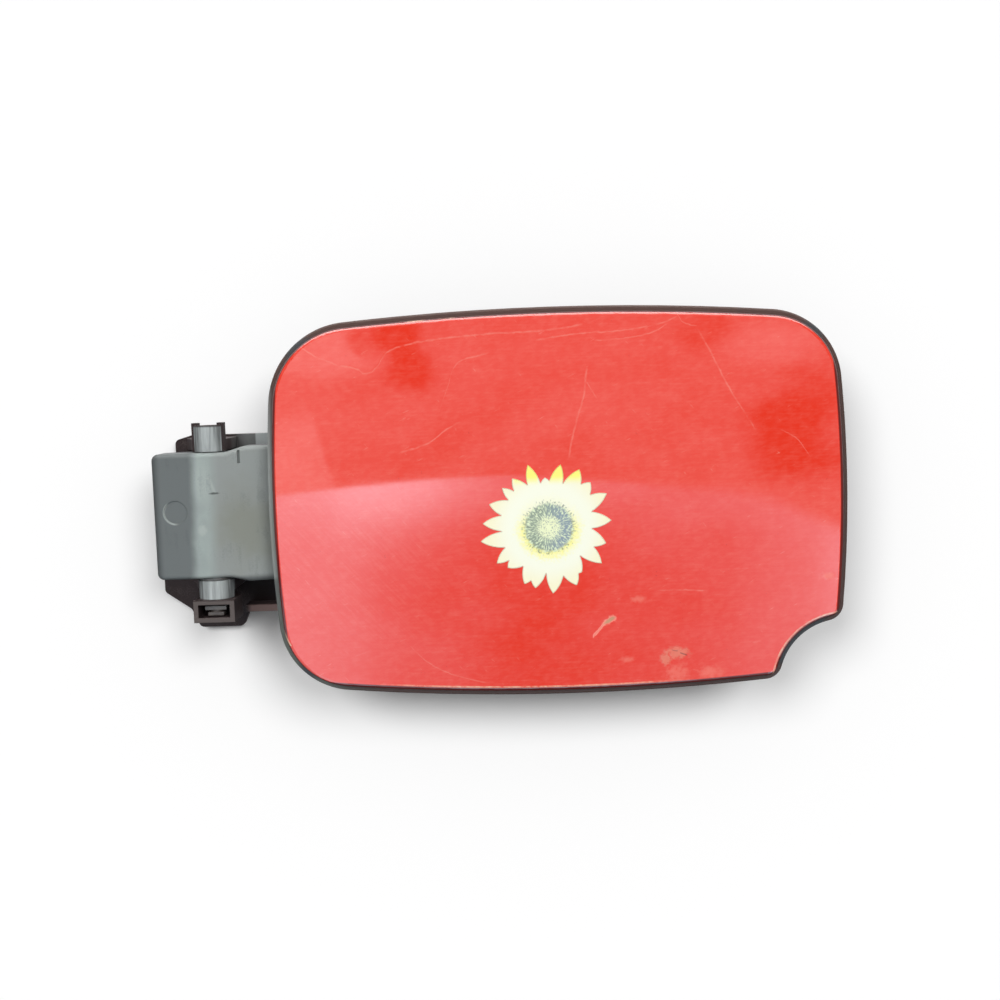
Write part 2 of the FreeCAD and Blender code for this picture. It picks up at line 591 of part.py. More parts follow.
arm_block = new_body("arm_block", HINGE_AT)
arm_side = polygon(new_sketch(arm_block, "XY_Plane"), [
    ("-Dim.arm_tail", "Dim.tail_back"),
    ("-Dim.arm_tail", "-Dim.arm_front"),
    ("Dim.bend_x", "-Dim.arm_front"),
    (ARM_SIDE, slope_at(ARM_SIDE)),
    (ARM_SIDE, "-Dim.panel_front"),
    ("Dim.arm_root", "-Dim.panel_front"),
    ("Dim.arm_root", "Dim.root_back"),
    ("Dim.arm_deep_x", "Dim.arm_back"),
    ("Dim.knuckle_half", "Dim.knuckle_back"),
    ("-Dim.knuckle_half", "Dim.knuckle_back"),
])
pad(arm_block, arm_side, ARM_H, both=True)
narrow(arm_block, f"{ARM_H} / 2", "Dim.knuckle_h / 2")
dress(arm_block, "Fillet", "Dim.ramp_round", level_at(size("ramp_start"), size("ramp_end")))
dress(arm_block, "Fillet", "Dim.tail_corner", level_at(-size("arm_tail")))
dress(arm_block, "Fillet", "Dim.arm_bend", upright_at(size("bend_x"), -size("arm_front")))
dress(arm_block, "Fillet", "Dim.arm_edge", rims_front(arm_block))
mark = new_sketch(arm_block, "XZ_Plane", "Dim.arm_front - Dim.mark_deep")
pocket(arm_block, circle(mark, "Dim.mark_x", "Dim.mark_z", "Dim.mark_r"), "Dim.arm_front", flip=True)
slit = new_sketch(arm_block, "XZ_Plane", f"-{slope_at('Dim.slit_x')} - Dim.slit_deep")
rectangle(slit, "Dim.slit_x - Dim.slit_wide / 2", "Dim.slit_x + Dim.slit_wide / 2",
          "Dim.slit_top - Dim.slit_len", "Dim.slit_top")
pocket(arm_block, slit, "Dim.arm_front", flip=True)

arm_hollow = new_body("arm_hollow", HINGE_AT)
inner_side = f"({ARM_SIDE} + Dim.arm_wall)"
hollow_side = polygon(new_sketch(arm_hollow, "XY_Plane"), [
    ("Dim.arm_wall - Dim.arm_tail", "2 * Dim.arm_back"),
    ("Dim.arm_wall - Dim.arm_tail", "Dim.arm_wall - Dim.arm_front"),
    ("Dim.bend_x - Dim.arm_wall * tan(Dim.arm_slope / 2)", "Dim.arm_wall - Dim.arm_front"),
    (inner_side, f"{slope_at(inner_side)} + Dim.arm_wall / cos(Dim.arm_slope)"),
    (inner_side, "-2 * Dim.panel_front"),
    ("Dim.arm_root + Dim.arm_wall", "-2 * Dim.panel_front"),
    ("Dim.arm_root + Dim.arm_wall", "2 * Dim.arm_back"),
])
pad(arm_hollow, hollow_side, f"{ARM_H} - 2 * Dim.arm_wall", both=True)
narrow(arm_hollow, f"({ARM_H} / 2 - Dim.arm_wall)", "Dim.knuckle_h / 2 - Dim.arm_wall")
arm_box = join("Cut", "arm_box", arm_block, arm_hollow)
arm_ribs = new_body("arm_ribs", HINGE_AT)
rib_sketch = new_sketch(arm_ribs, "XY_Plane", "Dim.arm_rib_z")
rectangle(rib_sketch, "-Dim.arm_tail", "Dim.arm_root", "-2 * Dim.panel_front", "2 * Dim.arm_back")
mirror(arm_ribs, pad(arm_ribs, rib_sketch, "Dim.rib_thick", both=True), "XY_Plane")
rib_plates = join("Common", "rib_plates", arm_block, arm_ribs)
tube_at = ("Dim.hinge_x", "Dim.hinge_y", KNUCKLE_FOOT)
arm_tube = rod("arm_tube", "Dim.tube_dia / 2", "Dim.knuckle_h", tube_at)

# Socket for the stopper and seats for the striker and the buffers, on the back of the door
socket = new_body("socket", STOPPER_AT)
socket_side = polygon(new_sketch(socket, "XY_Plane"), [
    ("0", "0"),
    ("Dim.socket_r + Dim.socket_wall", "0"),
    ("Dim.socket_r + Dim.socket_wall", "Dim.socket_end"),
    ("0", "Dim.socket_end"),
])
revolve(socket, socket_side, "V_Axis")
socket_bore = rod("socket_bore", "Dim.socket_r", "Dim.panel_front",
                  (STOPPER_AT[0], "Dim.socket_floor - Dim.panel_front", STOPPER_AT[2]), "y")
FREE_EDGE = f"{PANEL_X} + Dim.panel_w / 2"
STRIKER_SEAT = "(Dim.rib_depth + Dim.striker_lift)"
BUFFER_SEAT = "(Dim.rib_depth + Dim.buffer_lift)"
STRIKER_AT = (f"{FREE_EDGE} - Dim.striker_inset", f"{STRIKER_SEAT} - Dim.panel_front", "Dim.panel_rise")
striker_seat = new_body("striker_pedestal", STRIKER_AT)
seat_sketch = rectangle(new_sketch(striker_seat, "XZ_Plane"), "-Dim.striker_len / 2", "Dim.striker_len / 2",
                        "-Dim.striker_h / 2", "Dim.striker_h / 2")
pad(striker_seat, seat_sketch, STRIKER_SEAT)
peg_hole = rod("peg_hole", "Dim.peg_dia / 2", "Dim.peg_len",
               (STRIKER_AT[0], STRIKER_AT[1] + " - Dim.peg_len", STRIKER_AT[2]), "y")
pedestals = []
stem_holes = []
buffers = []
for name, sign in (("upper_buffer", "+"), ("lower_buffer", "-")):
    at = (f"{FREE_EDGE} - Dim.buffer_inset", f"{BUFFER_SEAT} - Dim.panel_front",
          f"Dim.panel_rise {sign} (Dim.panel_h / 2 - Dim.buffer_drop)")
    front = (at[0], "-Dim.panel_front", at[2])
    pedestals.append(rod(name + "_pedestal", "Dim.buffer_dia / 2", BUFFER_SEAT, front, "y"))
    hole_at = (at[0], at[1] + " - Dim.stem_len", at[2])
    stem_holes.append(rod(name + "_hole", "Dim.stem_dia / 2", "Dim.stem_len", hole_at, "y"))
    buffer = new_body(name, at)
    buffer_side = polygon(new_sketch(buffer, "XY_Plane"), [
        ("0", "-Dim.stem_len"),
        ("Dim.stem_dia / 2", "-Dim.stem_len"),
        ("Dim.stem_dia / 2", "0"),
        ("Dim.buffer_dia / 2", "0"),
        ("Dim.buffer_dia / 2", "Dim.buffer_tall"),
        ("0", "Dim.buffer_tall"),
    ])
    revolve(buffer, buffer_side, "V_Axis")
    dress(buffer, "Fillet", "Dim.buffer_dome", lambda edge: edge.BoundBox.YMin > size("buffer_tall") - HAIR)
    buffers.append(buffer)

# The door is one moulding with its arm: what stands on its back starts inside the tray's plate
fittings = join("MultiFuse", "fittings", arm_box, rib_plates, arm_tube, socket, striker_seat, *pedestals)
behind_plate = curved_slab("behind_plate", MID_PLATE, "2 * Dim.panel_front")
rooted = join("Common", "rooted", fittings, behind_plate)
door_blank = join("MultiFuse", "door_blank", door_shell, door_ribs, rooted)
pin_bore = rod("pin_bore", "Dim.pin_dia / 2 + Dim.pin_run", "2 * Dim.knuckle_h",
               ("Dim.hinge_x", "Dim.hinge_y", "Dim.hinge_z - Dim.knuckle_h"))
door_bores = join("MultiFuse", "door_bores", pin_bore, socket_bore, peg_hole, *stem_holes)
inner_door = join("Cut", "inner_door", door_blank, door_bores)

# Hinge bracket
bracket = new_body("hinge_bracket")
plate_top = f"({UPPER_EAR} + Dim.ear_thick + Dim.plate_over)"
tab_start, tab_end = "(Dim.hinge_x - Dim.tab_left)", "(Dim.hinge_x + Dim.tab_right)"
plate_sketch = polygon(new_sketch(bracket, "XZ_Plane"), [
    ("Dim.plate_left + Dim.shoulder_run", plate_top),
    ("Dim.plate_left", f"{plate_top} - Dim.shoulder_drop"),
    ("Dim.plate_left", "Dim.wing_top + Dim.wing_slope"),
    ("Dim.plate_wing", "Dim.wing_top"),
    ("Dim.plate_wing", "Dim.wing_foot"),
    (f"{tab_start} - Dim.tab_slope", "Dim.plate_foot"),
    (tab_start, "Dim.tab_foot"),
    (tab_end, "Dim.tab_foot"),
    (f"{tab_end} + Dim.tab_slope", "Dim.plate_foot"),
    ("Dim.plate_right", "Dim.plate_foot"),
    ("Dim.plate_right", plate_top),
])
pad(bracket, plate_sketch, "Dim.plate_thick")
dress(bracket, "Fillet", "Dim.plate_round", lambda edge: span(edge)[1].Length - abs(span(edge)[1].y) < HAIR)
in_plate = "-Dim.plate_thick / 2"
ledge_sketch = rectangle(new_sketch(bracket, "XY_Plane", "Dim.plate_foot"), f"{tab_end} + Dim.tab_slope",
                         "Dim.plate_right - Dim.plate_round", "-Dim.plate_thick - Dim.ledge_rise", in_plate)
pad(bracket, ledge_sketch, "Dim.ledge_thick")
upper_r, lower_r = "Dim.upper_barrel_dia / 2", "Dim.barrel_dia / 2"
for lift, radius in ((UPPER_EAR, upper_r), (f"{LOWER_EAR} - Dim.ear_thick", lower_r)):
    ear_sketch = polygon(new_sketch(bracket, "XY_Plane", lift), [
        (f"Dim.hinge_x - {radius}", "Dim.hinge_y"),
        (f"Dim.hinge_x + {radius}", "Dim.hinge_y"),
        (f"Dim.hinge_x + {radius}", in_plate),
        ("Dim.hinge_x - Dim.ear_flare", in_plate),
    ])
    pad(bracket, ear_sketch, "Dim.ear_thick")
upper_barrel = circle(new_sketch(bracket, "XY_Plane", UPPER_EAR), "Dim.hinge_x", "Dim.hinge_y", upper_r)
pad(bracket, upper_barrel, "Dim.ear_thick + Dim.barrel_rise")
lugs = new_sketch(bracket, "XY_Plane", UPPER_EAR)
lug_front, lug_rear = "Dim.hinge_y - Dim.lug_deep / 2", "Dim.hinge_y + Dim.lug_deep / 2"
lug_inner = "(Dim.pin_dia / 2 + Dim.lug_wall)"
rectangle(lugs, "Dim.hinge_x - Dim.lug_half", f"Dim.hinge_x - {lug_inner}", lug_front, lug_rear)
rectangle(lugs, f"Dim.hinge_x + {lug_inner}", "Dim.hinge_x + Dim.lug_half", lug_front, lug_rear)
pad(bracket, lugs, "Dim.ear_thick + Dim.barrel_rise + Dim.lug_rise")
lower_barrel = circle(new_sketch(bracket, "XY_Plane", BOX_TOP), "Dim.hinge_x", "Dim.hinge_y", lower_r)
pad(bracket, lower_barrel, "Dim.ear_thick + Dim.barrel_drop")
box_foot = f"({BOX_TOP} - Dim.box_h)"
box_sketch = new_sketch(bracket, "XY_Plane", box_foot)
rectangle(box_sketch, "Dim.hinge_x - Dim.box_w / 2", "Dim.hinge_x + Dim.box_w / 2",
          "Dim.hinge_y - Dim.box_front", "Dim.hinge_y + Dim.box_back")
pad(bracket, box_sketch, "Dim.box_h")
web_sketch = rectangle(new_sketch(bracket, "XY_Plane", box_foot), "Dim.hinge_x - Dim.web_thick / 2",
                       "Dim.hinge_x + Dim.web_thick / 2", "Dim.hinge_y + Dim.box_back / 2", in_plate)
pad(bracket, web_sketch, f"{LOWER_EAR} - Dim.ear_thick / 2 - {box_foot}")
stop_foot = f"({KNUCKLE_FOOT} + Dim.stop_inset)"
stop_sketch = new_sketch(bracket, "XY_Plane", stop_foot)
stop_near = "Dim.hinge_x + Dim.stop_x"
rectangle(stop_sketch, stop_near, f"{stop_near} + Dim.stop_thick",
          "-Dim.plate_thick - Dim.stop_rise", in_plate)
pad(bracket, stop_sketch, "Dim.knuckle_h - 2 * Dim.stop_inset")
recess_half = "(Dim.box_w / 2 - Dim.box_wall)"
recess_floor = f"({box_foot} + Dim.box_wall)"
recess = new_sketch(bracket, "XZ_Plane", "-Dim.hinge_y - Dim.recess_back")
rectangle(recess, f"Dim.hinge_x - {recess_half}", f"Dim.hinge_x + {recess_half}",
          recess_floor, f"{BOX_TOP} - Dim.box_wall")
pocket(bracket, recess, "Dim.recess_back + Dim.box_front", flip=True)
bore = circle(new_sketch(bracket, "XY_Plane", recess_floor), "Dim.hinge_x", "Dim.hinge_y", "Dim.pin_dia / 2")
pocket(bracket, bore, f"{BARREL_END} - {recess_floor}", flip=True)
holes = new_sketch(bracket, "XZ_Plane")
for side in ("+", "-"):
    circle(holes, "0", f"{side}Dim.bolt_spacing / 2", "Dim.bolt_hole / 2")
pocket(bracket, holes)

# Hinge pin with a T-head in the lock box, and the washer that gives the hinge its drag
hinge_pin = new_body("hinge_pin", ("Dim.hinge_x", "Dim.hinge_y", f"{recess_floor} + Dim.head_lift"))
shaft = circle(new_sketch(hinge_pin, "XY_Plane"), "0", "0", "Dim.pin_dia / 2")
pin_length = f"{BARREL_END} - Dim.pin_top - {recess_floor} - Dim.head_lift"
pad(hinge_pin, shaft, pin_length)
top_rim = max(vertex.Z for vertex in hinge_pin.Tip.Shape.Vertexes)
dress(hinge_pin, "Chamfer", "Dim.pin_chamfer", lambda edge: edge.BoundBox.ZMin > top_rim - HAIR)
for lift, length, thick in ((None, "Dim.foot_len", "Dim.foot_thick"),
                            ("Dim.foot_thick + Dim.foot_gap", "Dim.head_len", "Dim.head_thick")):
    bar = rectangle(new_sketch(hinge_pin, "XY_Plane", lift), f"-{length} / 2", f"{length} / 2",
                    "-Dim.head_deep / 2", "Dim.head_deep / 2")
    pad(hinge_pin, bar, thick)
washer = new_body("friction_washer", ("Dim.hinge_x", "Dim.hinge_y", f"{LOWER_EAR} + Dim.washer_gap"))
washer_sketch = circle(new_sketch(washer, "XY_Plane"), "0", "0", "Dim.washer_dia / 2")
circle(washer_sketch, "0", "0", "Dim.pin_dia / 2 + Dim.pin_run")
pad(washer, washer_sketch, "Dim.washer_thick")

# Stopper that floats in the socket behind a retaining ring
RING_BORE = "(Dim.socket_r - Dim.ring_lap)"
FLANGE = "(Dim.socket_r - Dim.flange_room)"
NECK = f"({RING_BORE} - Dim.neck_room)"
COLLAR_EDGE = "(Dim.socket_r - Dim.collar_inset)"
SEAL_LIP = f"({COLLAR_EDGE} - Dim.lip_inset)"
ring = new_body("retaining_ring", STOPPER_AT)
ring_side = polygon(new_sketch(ring, "XY_Plane"), [
    (RING_BORE, "Dim.socket_end"),
    (RING_INNER, "Dim.socket_end"),
    (RING_INNER, RING_START),
    (RING_OUTER, RING_START),
    (RING_OUTER, "Dim.socket_end + Dim.ring_thick"),
    (RING_BORE, "Dim.socket_end + Dim.ring_thick"),
])
revolve(ring, ring_side, "V_Axis")
FLANGE_BACK = "(Dim.socket_end - Dim.flange_gap)"
COLLAR = "(Dim.socket_end + Dim.ring_thick + Dim.float_travel + Dim.float_spare)"
SEAL = f"({COLLAR} + Dim.collar_thick)"
PLUG_END = f"({SEAL} + Dim.seal_thick + Dim.plug_len)"
stopper = new_body("stopper_body", STOPPER_AT)
stopper_side = polygon(new_sketch(stopper, "XY_Plane"), [
    ("0", f"{FLANGE_BACK} - Dim.flange_thick"),
    (FLANGE, f"{FLANGE_BACK} - Dim.flange_thick"),
    (FLANGE, FLANGE_BACK),
    (NECK, FLANGE_BACK),
    (NECK, COLLAR),
    (COLLAR_EDGE, COLLAR),
    (COLLAR_EDGE, SEAL),
    ("Dim.seal_seat_r", SEAL),
    ("Dim.seal_seat_r", f"{SEAL} + Dim.seal_thick"),
    ("Dim.plug_r", f"{SEAL} + Dim.seal_thick"),
    ("Dim.plug_r", f"{PLUG_END} - Dim.plug_taper"),
    ("Dim.plug_r - Dim.plug_taper / 2", PLUG_END),
    ("Dim.seal_seat_r - Dim.plug_wall", PLUG_END),
    ("Dim.seal_seat_r - Dim.plug_wall", SEAL),
    ("0", SEAL),
])
revolve(stopper, stopper_side, "V_Axis")
seal = new_body("stopper_seal", STOPPER_AT)
seal_side = polygon(new_sketch(seal, "XY_Plane"), [
    ("Dim.seal_seat_r", SEAL),
    (SEAL_LIP, SEAL),
    (SEAL_LIP, f"{SEAL} + Dim.seal_thick / 3"),
    ("Dim.seal_tip_r", f"{SEAL} + Dim.seal_thick"),
    ("Dim.seal_seat_r", f"{SEAL} + Dim.seal_thick"),
])
revolve(seal, seal_side, "V_Axis")
spring = new_body("stopper_spring", STOPPER_AT)
coil_rise = f"({FLANGE_BACK} - Dim.flange_thick - Dim.socket_floor - Dim.spring_thick)"
coil_start = "(Dim.socket_r - Dim.spring_inset)"
wire = rectangle(new_sketch(spring, "XY_Plane"), f"{coil_start} - Dim.spring_strip / 2",
                 f"{coil_start} + Dim.spring_strip / 2", "Dim.socket_floor",
                 "Dim.socket_floor + Dim.spring_thick")
coil = spring.newObject("PartDesign::AdditiveHelix", "coil")
coil.Profile = wire
coil.ReferenceAxis = (wire, ["V_Axis"])
coil.Mode = "pitch-turns-angle"
coil.setExpression("Pitch", f"{coil_rise} / Dim.spring_turns")
coil.setExpression("Turns", "Dim.spring_turns")
coil.setExpression("Angle", f"atan((Dim.spring_small - {coil_start}) / {coil_rise})")
settle(spring, coil)

# Lock striker with the eye for the locking pin
striker = new_body("lock_striker", STRIKER_AT)
foot = rectangle(new_sketch(striker, "XZ_Plane"), "-Dim.striker_len / 2", "Dim.striker_len / 2",
                 "-Dim.striker_h / 2", "Dim.striker_h / 2")
pad(striker, foot, "Dim.striker_foot", flip=True)
peg = circle(new_sketch(striker, "XZ_Plane"), "0", "0", "Dim.peg_dia / 2")
pad(striker, peg, "Dim.peg_len")
eye_reach = f"(Dim.striker_reach - {STRIKER_SEAT})"
post = rectangle(new_sketch(striker, "YZ_Plane"), "0", eye_reach, "-Dim.striker_h / 2", "Dim.striker_h / 2")
pad(striker, post, "Dim.striker_eye", both=True)
eye = circle(new_sketch(striker, "YZ_Plane"), eye_reach, "0", "Dim.striker_h / 2")
pad(striker, eye, "Dim.striker_eye", both=True)
eye_hole = circle(new_sketch(striker, "YZ_Plane"), eye_reach, "0", "Dim.eye_bore / 2")
pocket(striker, eye_hole)


# Sunflower sticker: a ring of petals cut from film that follows the skin
def flower_outline():
    """Outline of the petals round the flower's middle, as two arcs a petal."""
    def ray(degrees, share):
        turn = math.radians(degrees)
        return Vector(math.cos(turn), 0, math.sin(turn)) * share * size("flower_r")

    edges = []
    valley = ray(*PETALS[-1][2:])
    for tip_turn, tip_share, valley_turn, valley_share in PETALS:
        tip, after = ray(tip_turn, tip_share), ray(valley_turn, valley_share)
        for start, end in ((valley, tip), (tip, after)):
            chord = end - start
            bulge = Vector(chord.z, 0, -chord.x) * PETAL_BULGE
            edges.append(Part.Arc(start, (start + end) / 2 + bulge, end).toShape())
        valley = after
    return Part.Wire(Part.sortEdges(edges)[0])


petals = doc.addObject("Part::Feature", "petals")
petals.Shape = Part.Face(flower_outline()).extrude(Vector(0, 2 * size("panel_front"), 0))
place(petals, (PANEL_X + " + Dim.flower_x", "-2 * Dim.panel_front", "Dim.panel_rise + Dim.flower_z"))
film = curved_slab("film_slab", "-Dim.film", "0")
flower_sticker = join("Common", "flower_sticker", petals, film)

# Check every object and write one file for each piece
doc.recompute()
for item in doc.Objects:
    if "Invalid" in item.State or "Error" in item.State:
        raise RuntimeError(f"{item.Name} is {item.State}")
PIECES = [bracket, hinge_pin, washer, outer_skin, inner_door, flower_sticker, ring, striker, *buffers,
          stopper, seal, spring]
os.makedirs("parts", exist_ok=True)
for piece in PIECES:
    if piece.Shape.isNull() or not piece.Shape.isValid():
        raise RuntimeError(f"{piece.Name} has no valid shape")
    piece.Label = piece.Name
    piece.Shape.exportStep(f"parts/{piece.Name}.step")
    print(piece.Name, len(piece.Shape.Solids), round(piece.Shape.Volume))
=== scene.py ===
# %% [markdown]
# # Dressing a car's fuel filler flap
# The part is the small door over a car's filler neck: a red, slightly bulged panel on a black
# moulding, with a hinge arm, a bracket and, on the back, the stopper that closes the neck.
# The packed CAD model already has every shape in its place. It is loaded here as a fixed
# frame, in metres, and the rest of this file gives it finishes, light and a camera.
# Blender starts with a cube, a lamp and a camera of its own, so these go first.

# %% The packed model as a fixed frame
import json
import math

import bmesh
import bpy
from mathutils import Matrix, Vector

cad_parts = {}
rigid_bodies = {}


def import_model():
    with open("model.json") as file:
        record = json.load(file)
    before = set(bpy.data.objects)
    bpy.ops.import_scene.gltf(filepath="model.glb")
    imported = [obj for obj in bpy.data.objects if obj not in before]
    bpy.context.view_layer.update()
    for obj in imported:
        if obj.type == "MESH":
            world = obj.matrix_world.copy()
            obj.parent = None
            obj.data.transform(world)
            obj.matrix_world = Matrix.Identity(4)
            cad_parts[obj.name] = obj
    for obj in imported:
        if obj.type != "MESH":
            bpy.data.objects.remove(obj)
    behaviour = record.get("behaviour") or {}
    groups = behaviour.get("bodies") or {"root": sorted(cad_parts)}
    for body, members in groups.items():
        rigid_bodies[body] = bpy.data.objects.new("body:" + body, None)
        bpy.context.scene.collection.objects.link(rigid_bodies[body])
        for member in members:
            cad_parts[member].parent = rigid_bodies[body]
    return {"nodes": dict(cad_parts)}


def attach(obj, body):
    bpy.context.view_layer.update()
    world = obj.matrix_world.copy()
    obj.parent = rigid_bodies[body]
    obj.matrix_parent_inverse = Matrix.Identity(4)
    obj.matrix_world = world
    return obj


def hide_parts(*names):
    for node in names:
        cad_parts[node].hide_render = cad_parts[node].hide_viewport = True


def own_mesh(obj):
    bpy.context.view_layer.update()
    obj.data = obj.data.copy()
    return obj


for leftover in list(bpy.data.objects):
    bpy.data.objects.remove(leftover)
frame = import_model()
nodes = frame["nodes"]
scene = bpy.context.scene
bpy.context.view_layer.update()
print("CAD nodes:", ", ".join(sorted(nodes)))

# %% [markdown]
# ## The camera
# The photograph was taken from straight in front and a little above, with the flap turned
# slightly anticlockwise in the picture. A camera can be placed by eye, but here the outline
# of the panel was fitted to the photograph, which gives the angles below. The camera's three
# axes are written straight into its matrix, so that the roll needs no extra object.

# %% Camera
LENS_MM, SENSOR_MM = 45.45, 36
TARGET = Vector((0.0749, -0.033, 0.0099))
DISTANCE = 0.430
RISE, SWING, ROLL = (math.radians(angle) for angle in (5.5, 0.86, 1.85))

back = Vector((math.sin(SWING) * math.cos(RISE), -math.cos(SWING) * math.cos(RISE), math.sin(RISE)))
level = (-back).cross(Vector((0, 0, 1))).normalized()
upright = level.cross(-back)
across = math.cos(ROLL) * level - math.sin(ROLL) * upright
upward = math.sin(ROLL) * level + math.cos(ROLL) * upright
turn = Matrix((across, upward, back)).transposed().to_4x4()

lens = bpy.data.cameras.new("camera")
lens.lens = LENS_MM
lens.sensor_width = SENSOR_MM
lens.clip_start = 0.01
camera = bpy.data.objects.new("camera", lens)
camera.matrix_world = Matrix.Translation(TARGET + DISTANCE * back) @ turn
scene.collection.objects.link(camera)
scene.camera = camera
scene.view_settings.view_transform = "Standard"
print("Camera at", [round(value, 3) for value in camera.matrix_world.translation])

# %% [markdown]
# ## Shader maths as Python
# Every finish below is a formula of the place on the piece. Adding Math nodes one by one is
# long to write and hard to read, so one small class wraps a socket: an expression such as
# `1 - mask * 0.5` adds the nodes it needs. Any other node comes from the method `make`.

# %% A socket that can be calculated with
class Field:
    """A node's output, which can be added, multiplied and so on as a number can."""

    def __init__(self, tree, socket=None):
        self.tree = tree
        self.socket = socket

    def make(self, kind, settings=None, sockets=None, out=0):
        """One output of a new node: its settings are set first, then its sockets."""
        node = self.tree.nodes.new(kind)
        for name, value in (settings or {}).items():
            if name == "points":
                line = node.mapping.curves[0].points
                for at in value[1:-1]:
                    line.new(*at)
                for point, at in zip(line, value):
                    point.location = at
                node.mapping.update()
            else:
                setattr(node, name, value)
        for name, value in (sockets or {}).items():
            if isinstance(value, Field):
                self.tree.links.new(value.socket, node.inputs[name])
            else:
                node.inputs[name].default_value = value
        return Field(self.tree, node.outputs[out] if node.outputs else None)

    def other(self, out):
        """Another output of the same node."""
        return Field(self.tree, self.socket.node.outputs[out])

    def math(self, operation, *values):
        """A Math node of this value and the others."""
        return self.make("ShaderNodeMath", {"operation": operation}, dict(enumerate((self, *values))))

    def __add__(self, value):
        return self.math("ADD", value)

    def __sub__(self, value):
        return self.math("SUBTRACT", value)

    def __mul__(self, value):
        return self.math("MULTIPLY", value)

    def __truediv__(self, value):
        return self.math("DIVIDE", value)

    def __pow__(self, value):
        return self.math("POWER", value)

    def __abs__(self):
        return self.math("ABSOLUTE")

    def __rsub__(self, value):
        return self.make("ShaderNodeMath", {"operation": "SUBTRACT"}, {0: value, 1: self})

    __radd__ = __add__
    __rmul__ = __mul__

    def rise(self, start, end):
        """0 up to the start and 1 from the end on, with a soft passage between them."""
        return self.make(
            "ShaderNodeMapRange",
            {"interpolation_type": "SMOOTHSTEP"},
            {"Value": self, "From Min": start, "From Max": end},
        )

    def vector(self, operation, value, out=0):
        """A Vector Math node of this vector and another."""
        return self.make("ShaderNodeVectorMath", {"operation": operation}, {0: self, 1: value}, out)

    def joined(self, second, third):
        """A vector of this value and two others."""
        return self.make("ShaderNodeCombineXYZ", {}, {0: self, 1: second, 2: third})

    def parts(self):
        """The three values of a vector."""
        first = self.make("ShaderNodeSeparateXYZ", {}, {0: self})
        return first, first.other(1), first.other(2)

    def mix(self, low, high):
        """A colour between two others, where this value is the share of the second one."""
        ends = [end if isinstance(end, Field) else (*end, 1) for end in (low, high)]
        return self.make("ShaderNodeMix", {"data_type": "RGBA"}, {0: self, 6: ends[0], 7: ends[1]}, 2)

    def noise(self, grain, stretch=(1, 1, 1), detail=3, seed=0):
        """Noise round 0, with blots of about the given size in millimetres."""
        squeezed = self.vector("MULTIPLY", tuple(1 / (grain * longer) for longer in stretch))
        level = self.make(
            "ShaderNodeTexNoise",
            {"noise_dimensions": "4D"},
            {"Vector": squeezed, "W": seed, "Scale": 1, "Detail": detail},
        )
        return level - 0.5

    def line_through(self, points):
        """Height of a smooth line through the points at this value."""
        (start, end), heights = (points[0][0], points[-1][0]), [height for _, height in points]
        low, tall = min(heights), max(heights) - min(heights)
        shares = [((at - start) / (end - start), (height - low) / tall) for at, height in points]
        along = (self - start) / (end - start)
        return self.make("ShaderNodeFloatCurve", {"points": shares}, {"Value": along}) * tall + low


print("A field knows", ", ".join(name for name in vars(Field) if not name.startswith("_")))

# %% [markdown]
# ## Helpers for all the finishes
# A finish starts with the place on the piece in millimetres, because sizes of grain and wear
# are easier to think of that way. Marks such as a chip or a scratch come back on several
# pieces, so they are functions: a blot is an ellipse with a soft or ragged edge, and a
# scratch is a thin line through a few points. A sharp CAD edge looks cut out of paper, so
# the Bevel node bends the normals at the edges, and the bend also tells where edges wear.

# %% Helpers
def new_finish(name):
    """A new material and the place on the piece, in millimetres."""
    material = bpy.data.materials.new(name)
    material.use_nodes = True
    start = Field(material.node_tree)
    metres = start.make("ShaderNodeTexCoord", out="Object")
    return material, metres.vector("MULTIPLY", (1000, 1000, 1000))


def wire(material, **sockets):
    """Sets or links the sockets of the material's surface shader."""
    shader = material.node_tree.nodes["Principled BSDF"]
    for name, value in sockets.items():
        socket = shader.inputs[name.replace("_", " ")]
        if isinstance(value, Field):
            material.node_tree.links.new(value.socket, socket)
        else:
            socket.default_value = value


def bump(height, normal=None):
    """Normals of a surface with that height in millimetres."""
    sockets = {"Height": height, "Strength": 1, "Distance": 0.001}
    if normal:
        sockets["Normal"] = normal
    return height.make("ShaderNodeBump", {}, sockets)


def soft_edges(place, radius_mm):
    """Normals that round sharp edges, and a mask of those edges."""
    rounded = place.make("ShaderNodeBevel", {"samples": 6}, {"Radius": radius_mm / 1000})
    plain = place.make("ShaderNodeNewGeometry", out="Normal")
    return rounded, 1 - rounded.vector("DOT_PRODUCT", plain, "Value")


def distance(x, z, middle, radii=(1, 1)):
    """How far a place is from the middle, in radii."""
    wide, tall = (x - middle[0]) / radii[0], (z - middle[1]) / radii[1]
    return (wide * wide + tall * tall).math("SQRT")


def blot(x, z, middle, radii, ragged=0, soft=0.5):
    """1 inside an ellipse and 0 outside it."""
    return (distance(x, z, middle, radii) + ragged).rise(1 + soft, 1 - soft)


def scratch(along, across, points, width, fade=3):
    """1 on a thin line through the points, which fades out at both ends."""
    off = abs(across - along.line_through(points)) / width
    start, end = points[0][0], points[-1][0]
    return off.rise(1, 0) * along.rise(start - fade, start) * along.rise(end + fade, end)


def dress(material, *names):
    """Gives CAD nodes this material."""
    for name in names:
        nodes[name].data.materials.clear()
        nodes[name].data.materials.append(material)
    print(material.name, "has", len(material.node_tree.nodes), "nodes and is on", ", ".join(names))


helpers = (new_finish, wire, bump, soft_edges, distance, blot, scratch, dress)
print("Helpers:", ", ".join(helper.__name__ for helper in helpers))

# %% [markdown]
# ## The studio
# The flap lies in front of a white sheet in soft light from the front, a little above. The
# sheet could be a large box round the object, but a single plane right behind the bracket is
# enough: it shows the shadow, and the camera looks through its back in the other views.
# Only the camera sees it, so that it doesn't close off the back of the flap from the light.

